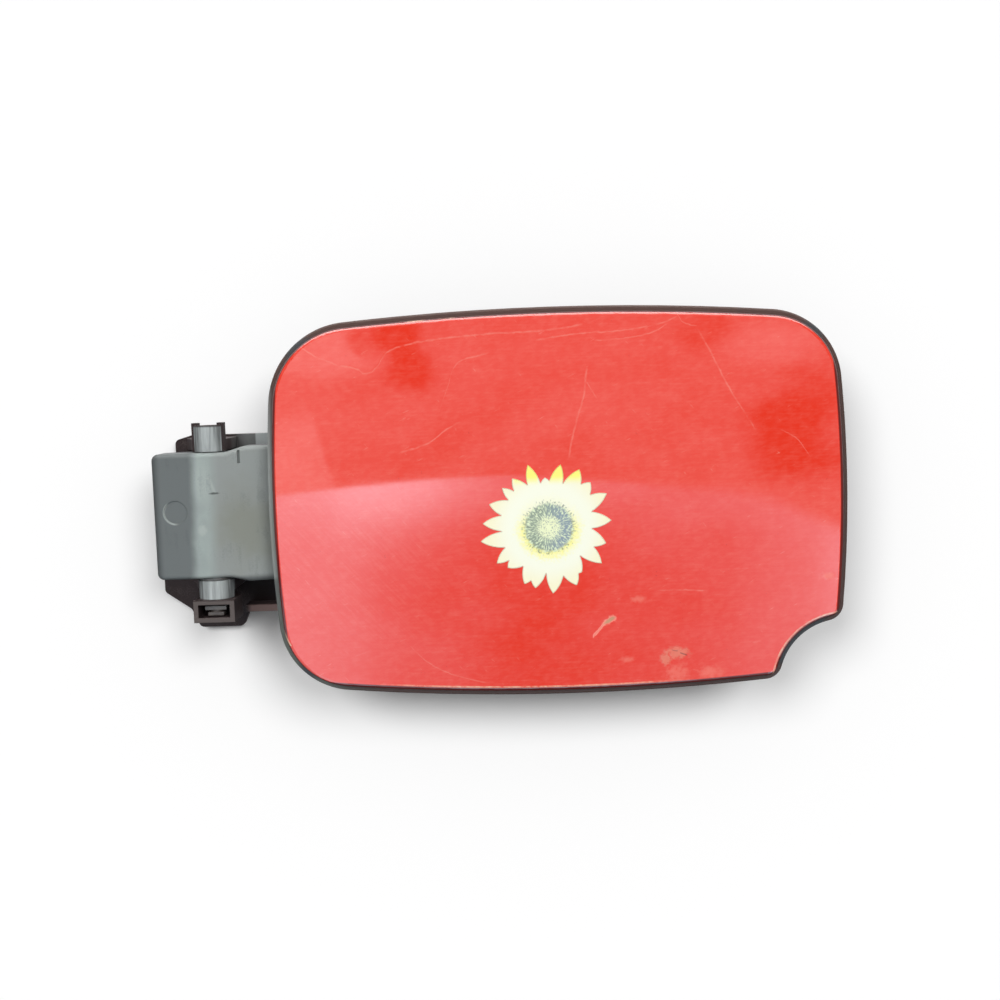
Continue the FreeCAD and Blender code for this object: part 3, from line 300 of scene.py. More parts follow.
# %% White sheet behind the flap
SHEET_HALF = 0.8
SHEET_GAP = 0.0006
SHEET_WHITE = (0.97, 0.97, 0.97, 1)

sheet_mesh = bpy.data.meshes.new("white_sheet")
shape = bmesh.new()
upright_behind = Matrix.Translation((0, SHEET_GAP, 0)) @ Matrix.Rotation(math.radians(90), 4, "X")
bmesh.ops.create_grid(shape, x_segments=1, y_segments=1, size=SHEET_HALF, matrix=upright_behind)
shape.to_mesh(sheet_mesh)
shape.free()
white_sheet = bpy.data.objects.new("white_sheet", sheet_mesh)
scene.collection.objects.link(white_sheet)
white_sheet.visible_diffuse = False
white_sheet.visible_glossy = False
white_sheet.visible_shadow = False

sheet_finish, place = new_finish("white_sheet")
wire(sheet_finish, Base_Color=SHEET_WHITE, Roughness=1, Specular_IOR_Level=0)
behind = place.make("ShaderNodeNewGeometry", out="Backfacing")
clear = place.make("ShaderNodeBsdfTransparent")
shader = Field(place.tree, place.tree.nodes["Principled BSDF"].outputs[0])
shown = place.make("ShaderNodeMixShader", {}, {0: behind, 1: shader, 2: clear})
place.tree.links.new(shown.socket, place.tree.nodes["Material Output"].inputs["Surface"])
white_sheet.data.materials.append(sheet_finish)
print("Sheet normal", [round(side, 2) for side in sheet_mesh.polygons[0].normal])

# %% [markdown]
# ## The light
# Three broad suns give a plain level of light: two from the front, a little to the left and
# to the right, so that the shadow shows on both sides, and a fill from behind. Area lamps
# would do as well, but a sun lights every pose of the flap the same. The suns don't show in
# the gloss: what the paint mirrors comes from the world.

# %% Suns
def sun(name, strength, spread, side, height):
    """A broad sun that shines from that side angle and height, both in degrees."""
    lamp = bpy.data.lights.new(name, "SUN")
    lamp.energy = strength
    lamp.angle = math.radians(spread)
    turn, tilt = math.radians(side), math.radians(height)
    source = Vector((math.sin(turn) * math.cos(tilt), -math.cos(turn) * math.cos(tilt), math.sin(tilt)))
    holder = bpy.data.objects.new(name, lamp)
    holder.rotation_euler = source.to_track_quat("Z", "Y").to_euler()
    holder.visible_glossy = False
    scene.collection.objects.link(holder)
    return holder


left_sun = sun("left_sun", strength=1.39, spread=26, side=-24, height=23.5)
right_sun = sun("right_sun", strength=1.39, spread=26, side=24, height=23.5)
back_fill = sun("back_fill", strength=1.8, spread=40, side=150, height=35)
print("Suns:", [lamp.data.energy for lamp in (left_sun, right_sun, back_fill)])

# %% [markdown]
# ## What the paint mirrors
# Gloss is only as interesting as its surroundings. In the photograph the panel mirrors a
# bright ground below an arched edge, a duller wall above it, and a few pale and dark things
# on that wall. Large lamps of these shapes could stand in front, but the world does it with
# less: for glossy rays its brightness follows the direction, for diffuse rays it is an even
# grey that is a little lighter from above, and the camera sees plain white.
# The bulge of the panel turns a step along it into a turn of the mirrored ray, and the two
# are nearly in proportion. So the direction is first turned into the place on the panel where
# the camera sees it, in millimetres, and the shapes are then drawn in those.

# %% The place on the panel where a direction shows
PANEL_MIDDLE = (94.3, 8.5)
PANEL_FRONT = -41.0
BULGE_RADII = (2600, 900)

eye = 1000 * camera.matrix_world.translation
reach = (eye - Vector((PANEL_MIDDLE[0], PANEL_FRONT, PANEL_MIDDLE[1]))).length


def mirrored_place(direction, middle, eye_place, bulge):
    """Where along the panel, in mm, the camera sees that part of a direction mirrored."""
    turn_per_mm = 2 / bulge + 1 / reach
    return (direction + (2 * middle / bulge + eye_place / reach)) / turn_per_mm


print("The eye is", round(reach), "mm from the panel")

# %% Bright ground and wall in the gloss
ARCH = [
    (-10, 13.2), (18, 15.8), (55, 18.4), (77, 18.7), (108, 16.0),
    (135, 13.4), (156, 10.6), (178, 2.0), (200, -9),
]
GROUND = [
    (-10, 4.2), (20, 3.5), (37, 2.0), (57, 1.2), (90, 0.6), (120, 1.0),
    (140, 1.3), (157, 2.1), (174, 2.8), (184, 4.3), (195, 4.9),
]
GLOW = [
    (-10, 0.4), (12, 1.8), (28, 4.4), (41, 5.4), (60, 3.2),
    (80, 2.2), (115, 1.8), (140, 0.9), (190, 0),
]
GLOW_DEPTH = 34
WALL, WALL_DARK, DIMMEST = 1.4, 0.2, 0.1
PILLAR_LEAN = 0.296
DEEP_BLOTS = [
    (0.5, (33, 66), (6, 6), 0.5),
    (1.0, (43, 65), (7.5, 7.5), 0.35),
    (1.0, (47, 55), (7, 7), 0.5),
    (1.3, (172, 30), (12, 15), 0.6),
    (0.6, (143, 64), (9, 5), 0.5),
]

world = bpy.data.worlds.new("studio")
world.use_nodes = True
world.node_tree.nodes.clear()
scene.world = world
start = Field(world.node_tree)
x, y, z = start.make("ShaderNodeTexCoord", out="Generated").parts()
right = mirrored_place(x, PANEL_MIDDLE[0], eye.x, BULGE_RADII[0])
up = mirrored_place(z, PANEL_MIDDLE[1], eye.z, BULGE_RADII[1])
clouds = right.joined(0, up).noise(16, (1.5, 1, 1), 3, 1)

over = up - right.line_through(ARCH)
glow = right.line_through(GLOW) * over.rise(-GLOW_DEPTH, 0) ** 2
ground = right.line_through(GROUND) + glow + 2 * clouds
pillar = (right + PILLAR_LEAN * up).rise(26.0, 25.2) * up.rise(48, 34)
wedge = blot(right, up, (34, 65), (7.5, 6.5), 0, 0.12)
corner = blot(right, up, (17, 62), (20, 9), clouds, 0.5) * (1 - wedge)
pale = 1.3 * pillar + 1.5 * corner + 1.1 * blot(right, up, (165, 59), (14, 6), 2 * clouds, 0.6)
deep = 0
for share, middle, radii, soft in DEEP_BLOTS:
    deep = share * blot(right, up, middle, radii, clouds, soft) + deep
wall = WALL + 2.2 * clouds + 0.2 * right.rise(48, 18) + pale - (WALL - WALL_DARK) * deep
split = (over / (1 + 4 * right.rise(95, 170))).rise(-0.8, 0.8)
print("The ground and the wall take", len(world.node_tree.nodes), "nodes")

# %% [markdown]
# ## Light for the edges and the back
# The rolled edges of the panel mirror what lies far to the sides: a bright strip overhead
# gives the pale line along the top, and dark sides keep the other edges dark. Behind the
# flap a plain horizon is enough, because no photograph shows what the back mirrors.

# %% World
EVEN_LIGHT = 0.30
SKY_TINT = (0.75, 0.97, 1.12)

sides = 1 - 0.75 * abs(x).rise(0.38, 0.55)
overhead = 9 * z.rise(0.60, 0.78)
foot_width = right.rise(30, 60) * right.rise(150, 130)
foot_strip = 3 * z.rise(-0.43, -0.50) * z.rise(-0.88, -0.78) * foot_width
underneath = 1 - 0.95 * z.rise(-0.80, -0.92)
in_front = (ground * (1 - split) + wall * split).math("MAXIMUM", DIMMEST) * sides * underneath
in_front = in_front + overhead + foot_strip
in_back = 0.15 + 0.95 * z.rise(-0.3, 0.4)
facing = y.rise(0.15, -0.15)
mirrored = in_front * facing + in_back * (1 - facing)

path = start.make("ShaderNodeLightPath", out="Is Camera Ray")
plain = path.math("MAXIMUM", path.other("Is Transmission Ray"))
glossy = path.other("Is Glossy Ray")
diffuse = EVEN_LIGHT * (1 + 0.5 * z)
brightness = plain + (1 - plain) * (glossy * mirrored + (1 - glossy) * diffuse)
colour = (glossy * (1 - split) * facing).mix((1, 1, 1), SKY_TINT)
background = start.make("ShaderNodeBackground", {}, {"Color": colour, "Strength": brightness})
start.make("ShaderNodeOutputWorld", {}, {"Surface": background})
print("World has", len(world.node_tree.nodes), "nodes")

# %% [markdown]
# ## Red paint
# The panel is pressed steel in a red paint that has been wiped and polished for years. Close
# up it has fine level swirl marks, a few long scratches, and chips where the beige primer
# shows. A painted image could hold all that, but no picture is used here: each mark is a
# formula of the place on the panel. The points below are the ends and bends of the scratches.

# %% Marks on the panel
LEVEL_SCRATCHES = [
    (0.50, [(11.4, 62.7), (21.8, 57.5), (29.4, 55.5), (31.7, 54.2), (34.8, 55.7), (37.6, 59.5),
            (39.7, 61.4), (45.4, 63.2), (54.4, 64.5), (70.3, 65.8), (92.1, 66.5), (102.4, 67.8)]),
    (0.40, [(90.4, 63.6), (103.6, 65.1), (116.8, 65.6), (128.3, 67.2), (133.6, 68.9)]),
    (0.35, [(110.1, 62.6), (123.3, 63.8), (130.0, 66.1)]),
    (0.45, [(44.2, 28.0), (48.3, 29.2), (53.1, 31.2), (57.2, 34.3), (60.3, 36.0)]),
    (0.40, [(58.0, 46.7), (59.1, 49.6), (60.6, 54.2), (62.9, 57.0), (66.4, 58.2), (70.4, 59.1)]),
    (0.35, [(136.6, 68.8), (138.0, 67.4), (140.5, 66.7)]),
    (0.35, [(171.3, 30.1), (174.0, 28.4), (176.6, 25.3)]),
    (0.40, [(129.6, -21.6), (135.0, -21.7), (141.8, -22.1)]),
    (0.35, [(44.4, -40.0), (52.7, -46.7), (66.2, -51.4)]),
]
UPRIGHT_SCRATCHES = [
    (0.50, [(26.4, 98.8), (30.3, 99.6), (36.9, 101.5), (45.1, 104.0), (51.6, 104.9)]),
    (0.35, [(45.6, 107.0), (48.3, 105.4)]),
    (0.50, [(33.9, 159.1), (36.6, 157.5), (46.0, 152.0), (56.4, 146.9), (63.1, 143.4)]),
]
SMUDGES = [
    ((120.5, -24.4), (1.9, 0.9)),
    ((184.4, -18.5), (1.8, 0.9)),
    ((116.1, -45.1), (1.7, 0.8)),
    ((133.4, -50.7), (2.8, 2.6)),
    ((144.7, -50.4), (3.4, 1.5)),
    ((32.4, -52.0), (1.2, 0.6)),
]
EDGE_CHIPS = [
    ((46.8, 71.4), (5.5, 0.55)),
    ((58.8, 71.9), (3.2, 0.45)),
    ((168.0, -52.4), (1.5, 0.9)),
    ((188.8, -33.6), (1.2, 0.8)),
]
scratch_count = len(LEVEL_SCRATCHES) + len(UPRIGHT_SCRATCHES)
print(scratch_count, "scratches,", len(SMUDGES), "smudges and", len(EDGE_CHIPS), "chips at the edge")

# %% Ground colour, haze and fine wear
RED = (0.80, 0.038, 0.017)
HAZE = (0.93, 0.22, 0.17)
FLECK_RED = (0.50, 0.020, 0.012)
SCRATCH_PINK = (0.96, 0.50, 0.40)
WIPE_LEANS = (-48, 25)

red_paint, place = new_finish("polished_red_paint")
x, y, z = place.parts()
from_middle, above_middle = x - PANEL_MIDDLE[0], z - PANEL_MIDDLE[1]
wide_square, tall_square = from_middle * from_middle, above_middle * above_middle
bulge = wide_square / (2 * BULGE_RADII[0]) + tall_square / (2 * BULGE_RADII[1])
behind_face = y - PANEL_FRONT - bulge

swirls = place.noise(0.55, (22, 1, 1), 2, 1)
strokes = place.noise(0.9, (3.5, 1, 1), 3, 2)
mottle = place.noise(2.6, detail=4, seed=3)
steep, crossed = (
    place.make("ShaderNodeMapping", {}, {"Vector": place, "Rotation": (0, math.radians(lean), 0)})
    for lean in WIPE_LEANS
)
brushed = steep.noise(0.7, (14, 1, 1), 2, 4) * blot(x, z, (24, -10), (30, 26), 0, 0.6)
hairlines = swirls.rise(0.10, 0.20) * mottle.rise(-0.05, 0.10)
wisps = crossed.noise(0.8, (5, 1, 1), 3, 5)
haze = 0.05 + 0.16 * swirls + 0.24 * strokes + 0.20 * wisps + 0.34 * mottle
haze = haze + 0.45 * brushed + 0.08 * hairlines
colour = haze.mix(RED, HAZE)
flecks = place.noise(0.8, detail=2, seed=6).rise(0.16, 0.26) * mottle.rise(0.02, -0.08)
colour = (flecks * 0.45).mix(colour, FLECK_RED)

nicks = crossed.noise(0.6, (7, 1, 1), 2, 12).rise(0.16, 0.27)
nicks = nicks + steep.noise(0.6, (6, 1, 1), 2, 13).rise(0.17, 0.28)
colour = (nicks * mottle.rise(-0.10, 0.08) * 0.20).mix(colour, SCRATCH_PINK)
print("Haze, flecks and nicks take", len(place.tree.nodes), "nodes")

# %% [markdown]
# ## Scratches
# Keys and sleeves have drawn a few long scratches over the panel. Random lines would be
# quicker, but these lie where the photograph shows them, so each is a curve through its few
# points. Noise shakes the curve and breaks it up, because no real scratch is even.

# %% Scratches
shaky = 0.9 * place.noise(2.2, detail=3, seed=9)
lines = 0
for width, points in LEVEL_SCRATCHES:
    lines = scratch(x, z + shaky, points, width) + lines
for width, points in UPRIGHT_SCRATCHES:
    lines = scratch(z, x + shaky, points, width) + lines
lines = lines * place.noise(3, detail=3, seed=7).rise(-0.22, 0.14)
colour = (lines * 0.22).mix(colour, SCRATCH_PINK)
print("With the scratches there are", len(place.tree.nodes), "nodes")

# %% [markdown]
# ## Chips and smudges
# Where something struck the panel, the pink and beige primer shows. A chip has a ragged
# edge and sits a little deeper than the paint, so the same mask will also sink the surface
# and take its gloss. The largest one leans, with a thin tail where the stone came from.

# %% Chips and smudges
PRIMER_PINK = (0.86, 0.27, 0.20)
PRIMER_DIRT = (0.10, 0.030, 0.022)
CHIP_BEIGE = (0.47, 0.26, 0.14)
CHIP_MIDDLE, CHIP_LEAN = (110.9, -31.2), math.radians(33)
PATCH_TAN = (0.66, 0.21, 0.14)

ragged = place.noise(1.4, detail=4, seed=8)
tail = scratch(x, z, [(105.2, -36.6), (107.4, -34.2), (109.2, -32.0)], 1.3, 0.6)
tail = (tail + 1.2 * ragged).rise(0.25, 0.70)
right_of, above = x - CHIP_MIDDLE[0], z - CHIP_MIDDLE[1]
chip_along = math.cos(CHIP_LEAN) * right_of + math.sin(CHIP_LEAN) * above
chip_across = math.cos(CHIP_LEAN) * above - math.sin(CHIP_LEAN) * right_of
chip = blot(chip_along, chip_across, (0, 0), (2.7, 1.1), 1.6 * ragged, 0.25)
chip_core = blot(chip_along, chip_across, (-0.2, 0), (2.1, 0.6), 1.2 * ragged, 0.4)
slanted = tail + chip
patch = blot(x, z, (133.5, -43.3), (3.7, 1.9), 2.2 * ragged, 0.5)
patch = patch + blot(x, z, (129.4, -45.4), (1.7, 1.9), 2 * ragged, 0.5)
patch = patch.math("MINIMUM", 1)
smudged = 0
for middle, radii in SMUDGES:
    smudged = blot(x, z, middle, radii, 3 * ragged, 0.9) + smudged
colour = (smudged * 0.38).mix(colour, PRIMER_PINK)
colour = (slanted * 0.75).mix(colour, PRIMER_PINK)
colour = (chip_core * 0.9).mix(colour, CHIP_BEIGE)
colour = (patch * (0.70 + 0.8 * ragged)).mix(colour, PATCH_TAN)
dirt = scratch(x, z, [(134.6, -43.5), (135.7, -43.9), (136.5, -44.2)], 0.35, 0.4)
dirt = dirt + 0.7 * scratch(x, z, [(131.9, -42.4), (132.6, -42.6), (133.4, -42.7)], 0.3, 0.4)
colour = (dirt * 0.8).mix(colour, PRIMER_DIRT)
print("With chips and smudges there are", len(place.tree.nodes), "nodes")

# %% [markdown]
# ## The panel's edges
# The roll of the pressed edge turns away from the light, so it and a thin strip along each
# side are painted dark red as shade. In front of it, a pale line along the foot is partly
# wear of the paint and partly a painted highlight, and a pale line of wear runs round the
# finger notch. The Bevel node can't find a roll that is already round, so the distance from
# the panel's outline is worked out from the same arcs that the CAD outline has.

# %% Edges and the finished paint
SHADED_EDGE_RED = (0.12, 0.008, 0.006)
BEIGE_WEAR_AND_HIGHLIGHT = (0.80, 0.48, 0.32)
PANEL_LEFT, PANEL_RIGHT, PANEL_FOOT = -1.7, 190.3, -55.5
SIDE_CROWN, FOOT_CROWN = 500, 850
NOTCH_MIDDLE, NOTCH_R = (PANEL_RIGHT, PANEL_FOOT), 23.2
EDGE_SHADE_WIDTHS = {"notch": 1.1, "foot": 1.55, "left": 1.3, "right": 1.4}

from_edges = {
    "notch": distance(x, z, NOTCH_MIDDLE) - NOTCH_R,
    "foot": z - PANEL_FOOT - wide_square / (2 * FOOT_CROWN),
    "left": x - PANEL_LEFT - tall_square / (2 * SIDE_CROWN),
    "right": PANEL_RIGHT - x - tall_square / (2 * SIDE_CROWN),
}
# Painted shade: the rolled edge and a strip along each side are darkened to dark red.
painted_edge_shade = behind_face.rise(0.14, 0.45)
for side, shade_mm in EDGE_SHADE_WIDTHS.items():
    painted_edge_shade = painted_edge_shade.math("MAXIMUM", from_edges[side].rise(shade_mm, shade_mm - 0.35))
colour = painted_edge_shade.mix(colour, SHADED_EDGE_RED)
wear_and_highlight = 0
for middle, radii in EDGE_CHIPS:
    wear_and_highlight = blot(x, z, middle, radii, 2 * ragged, 0.3) + wear_and_highlight
wear_and_highlight = wear_and_highlight * behind_face.rise(1.0, 0.4)
notch_rim = from_edges["notch"].rise(0.9, 1.1) * from_edges["notch"].rise(1.7, 1.4)
# The pale foot line is partly wear of the paint and partly a painted highlight.
foot_wear_and_highlight = from_edges["foot"].rise(1.35, 1.5) * from_edges["foot"].rise(2.1, 1.8)
foot_wear_and_highlight = foot_wear_and_highlight * x.rise(142, 110) * x.rise(30, 50)
wear_and_highlight = wear_and_highlight + scratch(z, x, [(-37.2, 2.0), (-34.6, 0.7), (-32.1, -0.2)], 0.55, 0.4)
wear_and_highlight = wear_and_highlight + (notch_rim + foot_wear_and_highlight) * (0.55 + 2.4 * ragged)
colour = wear_and_highlight.mix(colour, BEIGE_WEAR_AND_HIGHLIGHT)

waves = 0.04 * place.noise(45, detail=1, seed=10)
peel = 0.0006 * place.noise(1.4, detail=1, seed=11)
bare = slanted + patch + 0.5 * smudged
wire(
    red_paint,
    Base_Color=colour,
    Roughness=0.035 + 0.30 * bare + 0.10 * lines,
    Normal=bump(waves + peel - 0.03 * bare - 0.004 * lines),
)
dress(red_paint, "outer_skin")

# %% [markdown]
# ## Sunflower print
# The sticker is a printed film, cut out along its petals in the CAD model. The print could be
# an image, but a flower is mostly distance and direction from its middle, so polar formulas
# draw it: cream petals, a yellow ring that is strongest below, three yellow tips on top, and
# a disc of short radial strokes. Noise on a point of the unit circle has no seam where the
# angle jumps from one end to the other. The petals' outline comes from the film's own edge.

# %% Petals
FLOWER_MIDDLE = (91.1, 0.9)
DISC_R = 8.1
RAYS_ROUND = 15
CREAM = (0.90, 0.91, 0.76)
CREAM_TIP = (0.90, 0.86, 0.60)
YELLOW = (0.93, 0.88, 0.20)

print_film, place = new_finish("sunflower_print")
x, _, z = place.parts()
right, up = x - FLOWER_MIDDLE[0], z - FLOWER_MIDDLE[1]
radius = distance(x, z, FLOWER_MIDDLE)
grain = place.noise(0.8, detail=3, seed=1)
rays = (right / radius * RAYS_ROUND).joined(up / radius * RAYS_ROUND, radius * 0.95)
strokes = rays.noise(1, detail=2, seed=3)

colour = radius.rise(13, 21).mix(CREAM, CREAM_TIP)
cream_tip = blot(right, up, (-1.4, 16), (1.9, 3), 0, 0.3)
tips = up.rise(14.0, 17.5) * abs(right).rise(12, 10.5) * (1 - cream_tip)
colour = tips.mix(colour, YELLOW)
ring = (radius + 4 * grain + 4 * strokes).rise(DISC_R + 4.2, DISC_R) * (0.12 + 0.66 * up.rise(8, -2))
colour = ring.mix(colour, YELLOW)
print("Petals take", len(place.tree.nodes), "nodes")

# %% [markdown]
# ## The flower's disc
# The seeds in the middle are short radial strokes in grey green and blue, paler towards the
# core. Single seeds could be placed by a spiral, but at this size only their rhythm shows.

# %% Disc and the finished print
DISC_PALE = (0.72, 0.80, 0.55)
DISC_CORE = (0.83, 0.88, 0.58)
DISC_GREEN = (0.15, 0.20, 0.17)
DISC_BLUE = (0.12, 0.18, 0.29)
OUTLINE = (0.30, 0.22, 0.12)

dots = place.noise(0.40, detail=2, seed=4)
ticks = strokes.rise(0.02, 0.12) * (radius + 4 * grain).rise(DISC_R + 1.9, DISC_R + 0.3)
colour = (ticks * 0.75).mix(colour, DISC_GREEN)
core = (radius + 2 * grain).rise(5.0, 2.4)
speckle = (strokes * (1 - core) + dots * core).rise(-0.14 + 0.12 * core, 0.04 + 0.10 * core)
dark = right.rise(-4, 5).mix(DISC_GREEN, DISC_BLUE)
pale = core.mix(DISC_PALE, DISC_CORE)
speckled = (speckle * (0.82 - 0.25 * core) * radius.rise(0.6, 1.1)).mix(pale, dark)
disc = (radius + 5 * strokes + 2 * grain).rise(DISC_R + 0.5, DISC_R - 0.5)
colour = disc.mix(colour, speckled)
rounded, edge = soft_edges(place, 0.6)
colour = (edge.rise(0.01, 0.10) * 0.8).mix(colour, OUTLINE)
wire(
    print_film,
    Base_Color=colour,
    Roughness=0.36 + 0.2 * grain,
    Normal=bump(0.02 * speckle * disc + 0.004 * grain),
)
dress(print_film, "flower_sticker")

# %% [markdown]
# ## Moulded door and hinge arm
# The door behind the skin and its hinge arm are one black moulding. The rim in the skin's
# shade is still black, while the arm has turned grey in the sun. Along the bend a pale stripe
# is a painted highlight, the arm right of the bend is painted lighter as lit, its left end and
# underside are painted darker as shade, and one side of a ring mark has a painted highlight.
# The fading could be painted on, but it follows simple rules, so masks of the place do it:
# how far along the arm, how near the bend, and which edges stand proud.

# %% Faded arm with painted highlights and shade
BEND_X, BEND_LEAN = -27.6, 1 / 30
FADED_GREY = (0.128, 0.140, 0.140)
BEND_HIGHLIGHT_GREY = (0.345, 0.395, 0.380)
RUB_AND_HIGHLIGHT_PALE = (0.42, 0.46, 0.44)
SLOPE_GREY = (0.270, 0.290, 0.282)
SLOPE_OLIVE = (0.220, 0.228, 0.195)
SHADE_AND_DULL_BLACK = (0.045, 0.046, 0.047)
MARK_MIDDLE, MARK_R = (-36.5, 8.8), 4.0

door_plastic, place = new_finish("door_plastic_bleached_and_lit")
x, y, z = place.parts()
blotches = place.noise(9, detail=4, seed=1)
streaks = place.noise(2.0, (1, 1, 9), 3, 2)
grain = place.noise(0.5, detail=2, seed=3)
rounded, proud = soft_edges(place, 0.5)
from_bend = x - BEND_X - BEND_LEAN * z
# Painted light: right of the bend the arm is painted lighter, as it faces the light.
slope = from_bend.rise(0, 5).mix(FADED_GREY, SLOPE_GREY)
olive = blot(x, z, (-13, 3), (9, 11), 2 * blotches, 0.8)
faded_and_lit = (olive * 0.8).mix(slope, SLOPE_OLIVE)
# Painted highlight: a pale stripe along the bend.
bend_highlight = (from_bend + streaks + 2 * blotches).rise(-4.8, -0.9)
bend_highlight = bend_highlight * (from_bend + 2 * blotches).rise(6.0, 1.4)
faded_and_lit = (bend_highlight * (0.85 + 0.9 * blotches)).mix(faded_and_lit, BEND_HIGHLIGHT_GREY)
rub = scratch(z, x, [(15.4, -23.0), (17.5, -23.6), (20.0, -24.6)], 0.9, 1.5)
rub = 0.7 * rub + blot(x, z, (-27.5, 2.4), (1.4, 1.6), grain, 0.6)
rub = rub + 0.5 * blot(x, z, (-26.6, 19.0), (2.4, 6.0), 2 * blotches, 0.7)
# Painted highlight on the lower left side of the ejector ring mark.
ring_mark_highlight = abs(distance(x, z, MARK_MIDDLE) - MARK_R).rise(0.5, 0.1)
ring_mark_highlight = ring_mark_highlight * (x + 0.4 * z).rise(-33.5, -35.5)
faded_and_lit = ((rub + ring_mark_highlight) * 0.6).mix(faded_and_lit, RUB_AND_HIGHLIGHT_PALE)
nick = blot(x, z, (-23.1, 15.0), (1.5, 0.35), grain, 0.5)
# Painted shade: the arm's left end and its underside are darkened.
shaded_tail_end = x.rise(-40.8, -43.6)
shaded_under_edge = z.rise(-13.4, -15.4)
faded_and_lit = (nick * 0.8 + shaded_tail_end * 0.7 + shaded_under_edge * 0.7).mix(faded_and_lit, SHADE_AND_DULL_BLACK)
print("The faded arm takes", len(place.tree.nodes), "nodes")

# %% [markdown]
# ## Rim and inside of the door
# Round the skin the moulding is dark with a warm tinge, olive near the arm where dust lies,
# and inside it has kept its plain black. Two pieces could have two materials, but this is
# one moulding, so masks of the place divide it and its grain runs through.

# %% Rim and the finished plastic
RIM_BLACK = (0.070, 0.042, 0.036)
RIM_OLIVE = (0.105, 0.112, 0.098)
INSIDE_BLACK = (0.050, 0.051, 0.053)

rim = (x.rise(34, 8) * z.rise(34, 16)).mix(RIM_BLACK, RIM_OLIVE)
rim = (3 * proud + 0.5 * blotches).rise(0.2, 0.9).mix(rim, RIM_OLIVE)
backward = y.rise(-33.2, -32.7)
inside = x.rise(3, 6) * x.rise(186, 183) * z.rise(-51, -48) * z.rise(68, 65)
rim = inside.math("MAXIMUM", backward).mix(rim, INSIDE_BLACK)
arm = x.rise(-0.5, -3.5) * y.rise(-22, -26)
colour = arm.mix(rim, faded_and_lit)
dull = (1.4 * blotches + 1.2 * streaks + 0.6 * grain).rise(0.05, 0.40)
colour = (dull * 0.18).mix(colour, SHADE_AND_DULL_BLACK)
wire(
    door_plastic,
    Base_Color=colour,
    Roughness=0.50 + 0.3 * blotches + 0.2 * grain,
    Specular_IOR_Level=0.2,
    Normal=bump(0.02 * grain + 0.01 * blotches, rounded),
)
dress(door_plastic, "inner_door")

# %% [markdown]
# ## Hinge bracket
# The bracket is the same kind of plastic, but sits in the flap's shade, so it is painted nearly
# black with a warm tinge. Only its two barrels, which stand out into the light, have turned
# grey, with painted highlight streaks along them.

# %% Dark ground of the bracket
BROWN_BLACK = (0.026, 0.018, 0.018)
DUSTY = (0.098, 0.082, 0.078)
BOX_TOP, BOX_FRONT = -22.1, -31.0

bracket_plastic, place = new_finish("shaded_bracket_plastic")
x, y, z = place.parts()
blotches = place.noise(6, detail=4, seed=1)
streaks = place.noise(1.1, (1, 1, 12), 3, 2)
grain = place.noise(0.5, detail=2, seed=3)
rounded, proud = soft_edges(place, 0.45)
colour = (0.5 * (1.2 * blotches + grain).rise(0.0, 0.5)).mix(BROWN_BLACK, DUSTY)
box_face = z.rise(BOX_TOP, BOX_TOP - 0.6) * y.rise(BOX_FRONT + 0.8, BOX_FRONT + 0.2)
colour = (2.5 * proud + 0.9 * box_face).rise(0.1, 0.9).mix(colour, DUSTY)
print("The bracket's ground takes", len(place.tree.nodes), "nodes")

# %% [markdown]
# ## Barrels and ledge of the bracket
# The barrels are found by their distance from the hinge axis, so no separate piece is
# needed. They are painted palest where they face the light and darker at their sides as shade.
# The plate's upper part is paler, partly bleached and partly painted light, with painted shade
# towards the barrel; the plate's upper end is made paler, and the ledge's face is a painted highlight.

# %% Barrels and the finished bracket
HINGE_X, HINGE_Y = -25.3, -25.0
BARREL_GREY = (0.440, 0.475, 0.475)
BARREL_DARK = (0.075, 0.078, 0.078)
PLATE_GREY = (0.185, 0.195, 0.192)
LEDGE_BROWN = (0.190, 0.130, 0.120)
UPPER_BARREL_R, LOWER_BARREL_R = 4.8, 6.0

from_hinge = distance(x, y, (HINGE_X, HINGE_Y))
upper = from_hinge.rise(UPPER_BARREL_R + 0.35, UPPER_BARREL_R + 0.05)
upper = upper * z.rise(27, 28) * z.rise(38.2, 37.4)
lower = from_hinge.rise(LOWER_BARREL_R + 0.5, LOWER_BARREL_R + 0.1)
lower = lower * z.rise(0, -10) * z.rise(BOX_TOP, BOX_TOP + 0.5)
# Painted shade and highlight: each barrel is darker at its sides and has pale streaks along it.
turned_away = abs(x - HINGE_X - 0.6).rise(1.6, 5.4)
barrel_grey = (streaks * 1.7 + 0.78 - 0.55 * turned_away).mix(BARREL_DARK, BARREL_GREY)
colour = ((upper + lower) * y.rise(-22, -25)).mix(colour, barrel_grey)
in_front = y.rise(-0.6, -1.8)
# Partly bleached and partly painted light: the plate's upper part is paler, with painted shade towards
# the barrel.
upper_plate = z.rise(24, 27) * y.rise(-14, -10) * x.rise(-23, -16) * in_front
colour = (upper_plate * (0.75 + blotches)).mix(colour, PLATE_GREY)
pale_plate_end = x.rise(-13.9, -13.4) * x.rise(-7, -7.5) * z.rise(29.6, 30.2)
pale_plate_end = pale_plate_end * y.rise(-5, -3.5) * in_front
colour = (pale_plate_end * 0.8).mix(colour, BARREL_GREY)
# Painted highlight: the ledge's face is painted paler.
ledge = z.rise(-26.8, -27.4) * y.rise(-10.5, -11.6) * x.rise(-18, -16)
colour = ledge.mix(colour, LEDGE_BROWN)
wire(
    bracket_plastic,
    Base_Color=colour,
    Roughness=0.55 + 0.3 * blotches,
    Specular_IOR_Level=0.1,
    Normal=bump(0.02 * grain, rounded),
)
dress(bracket_plastic, "hinge_bracket")

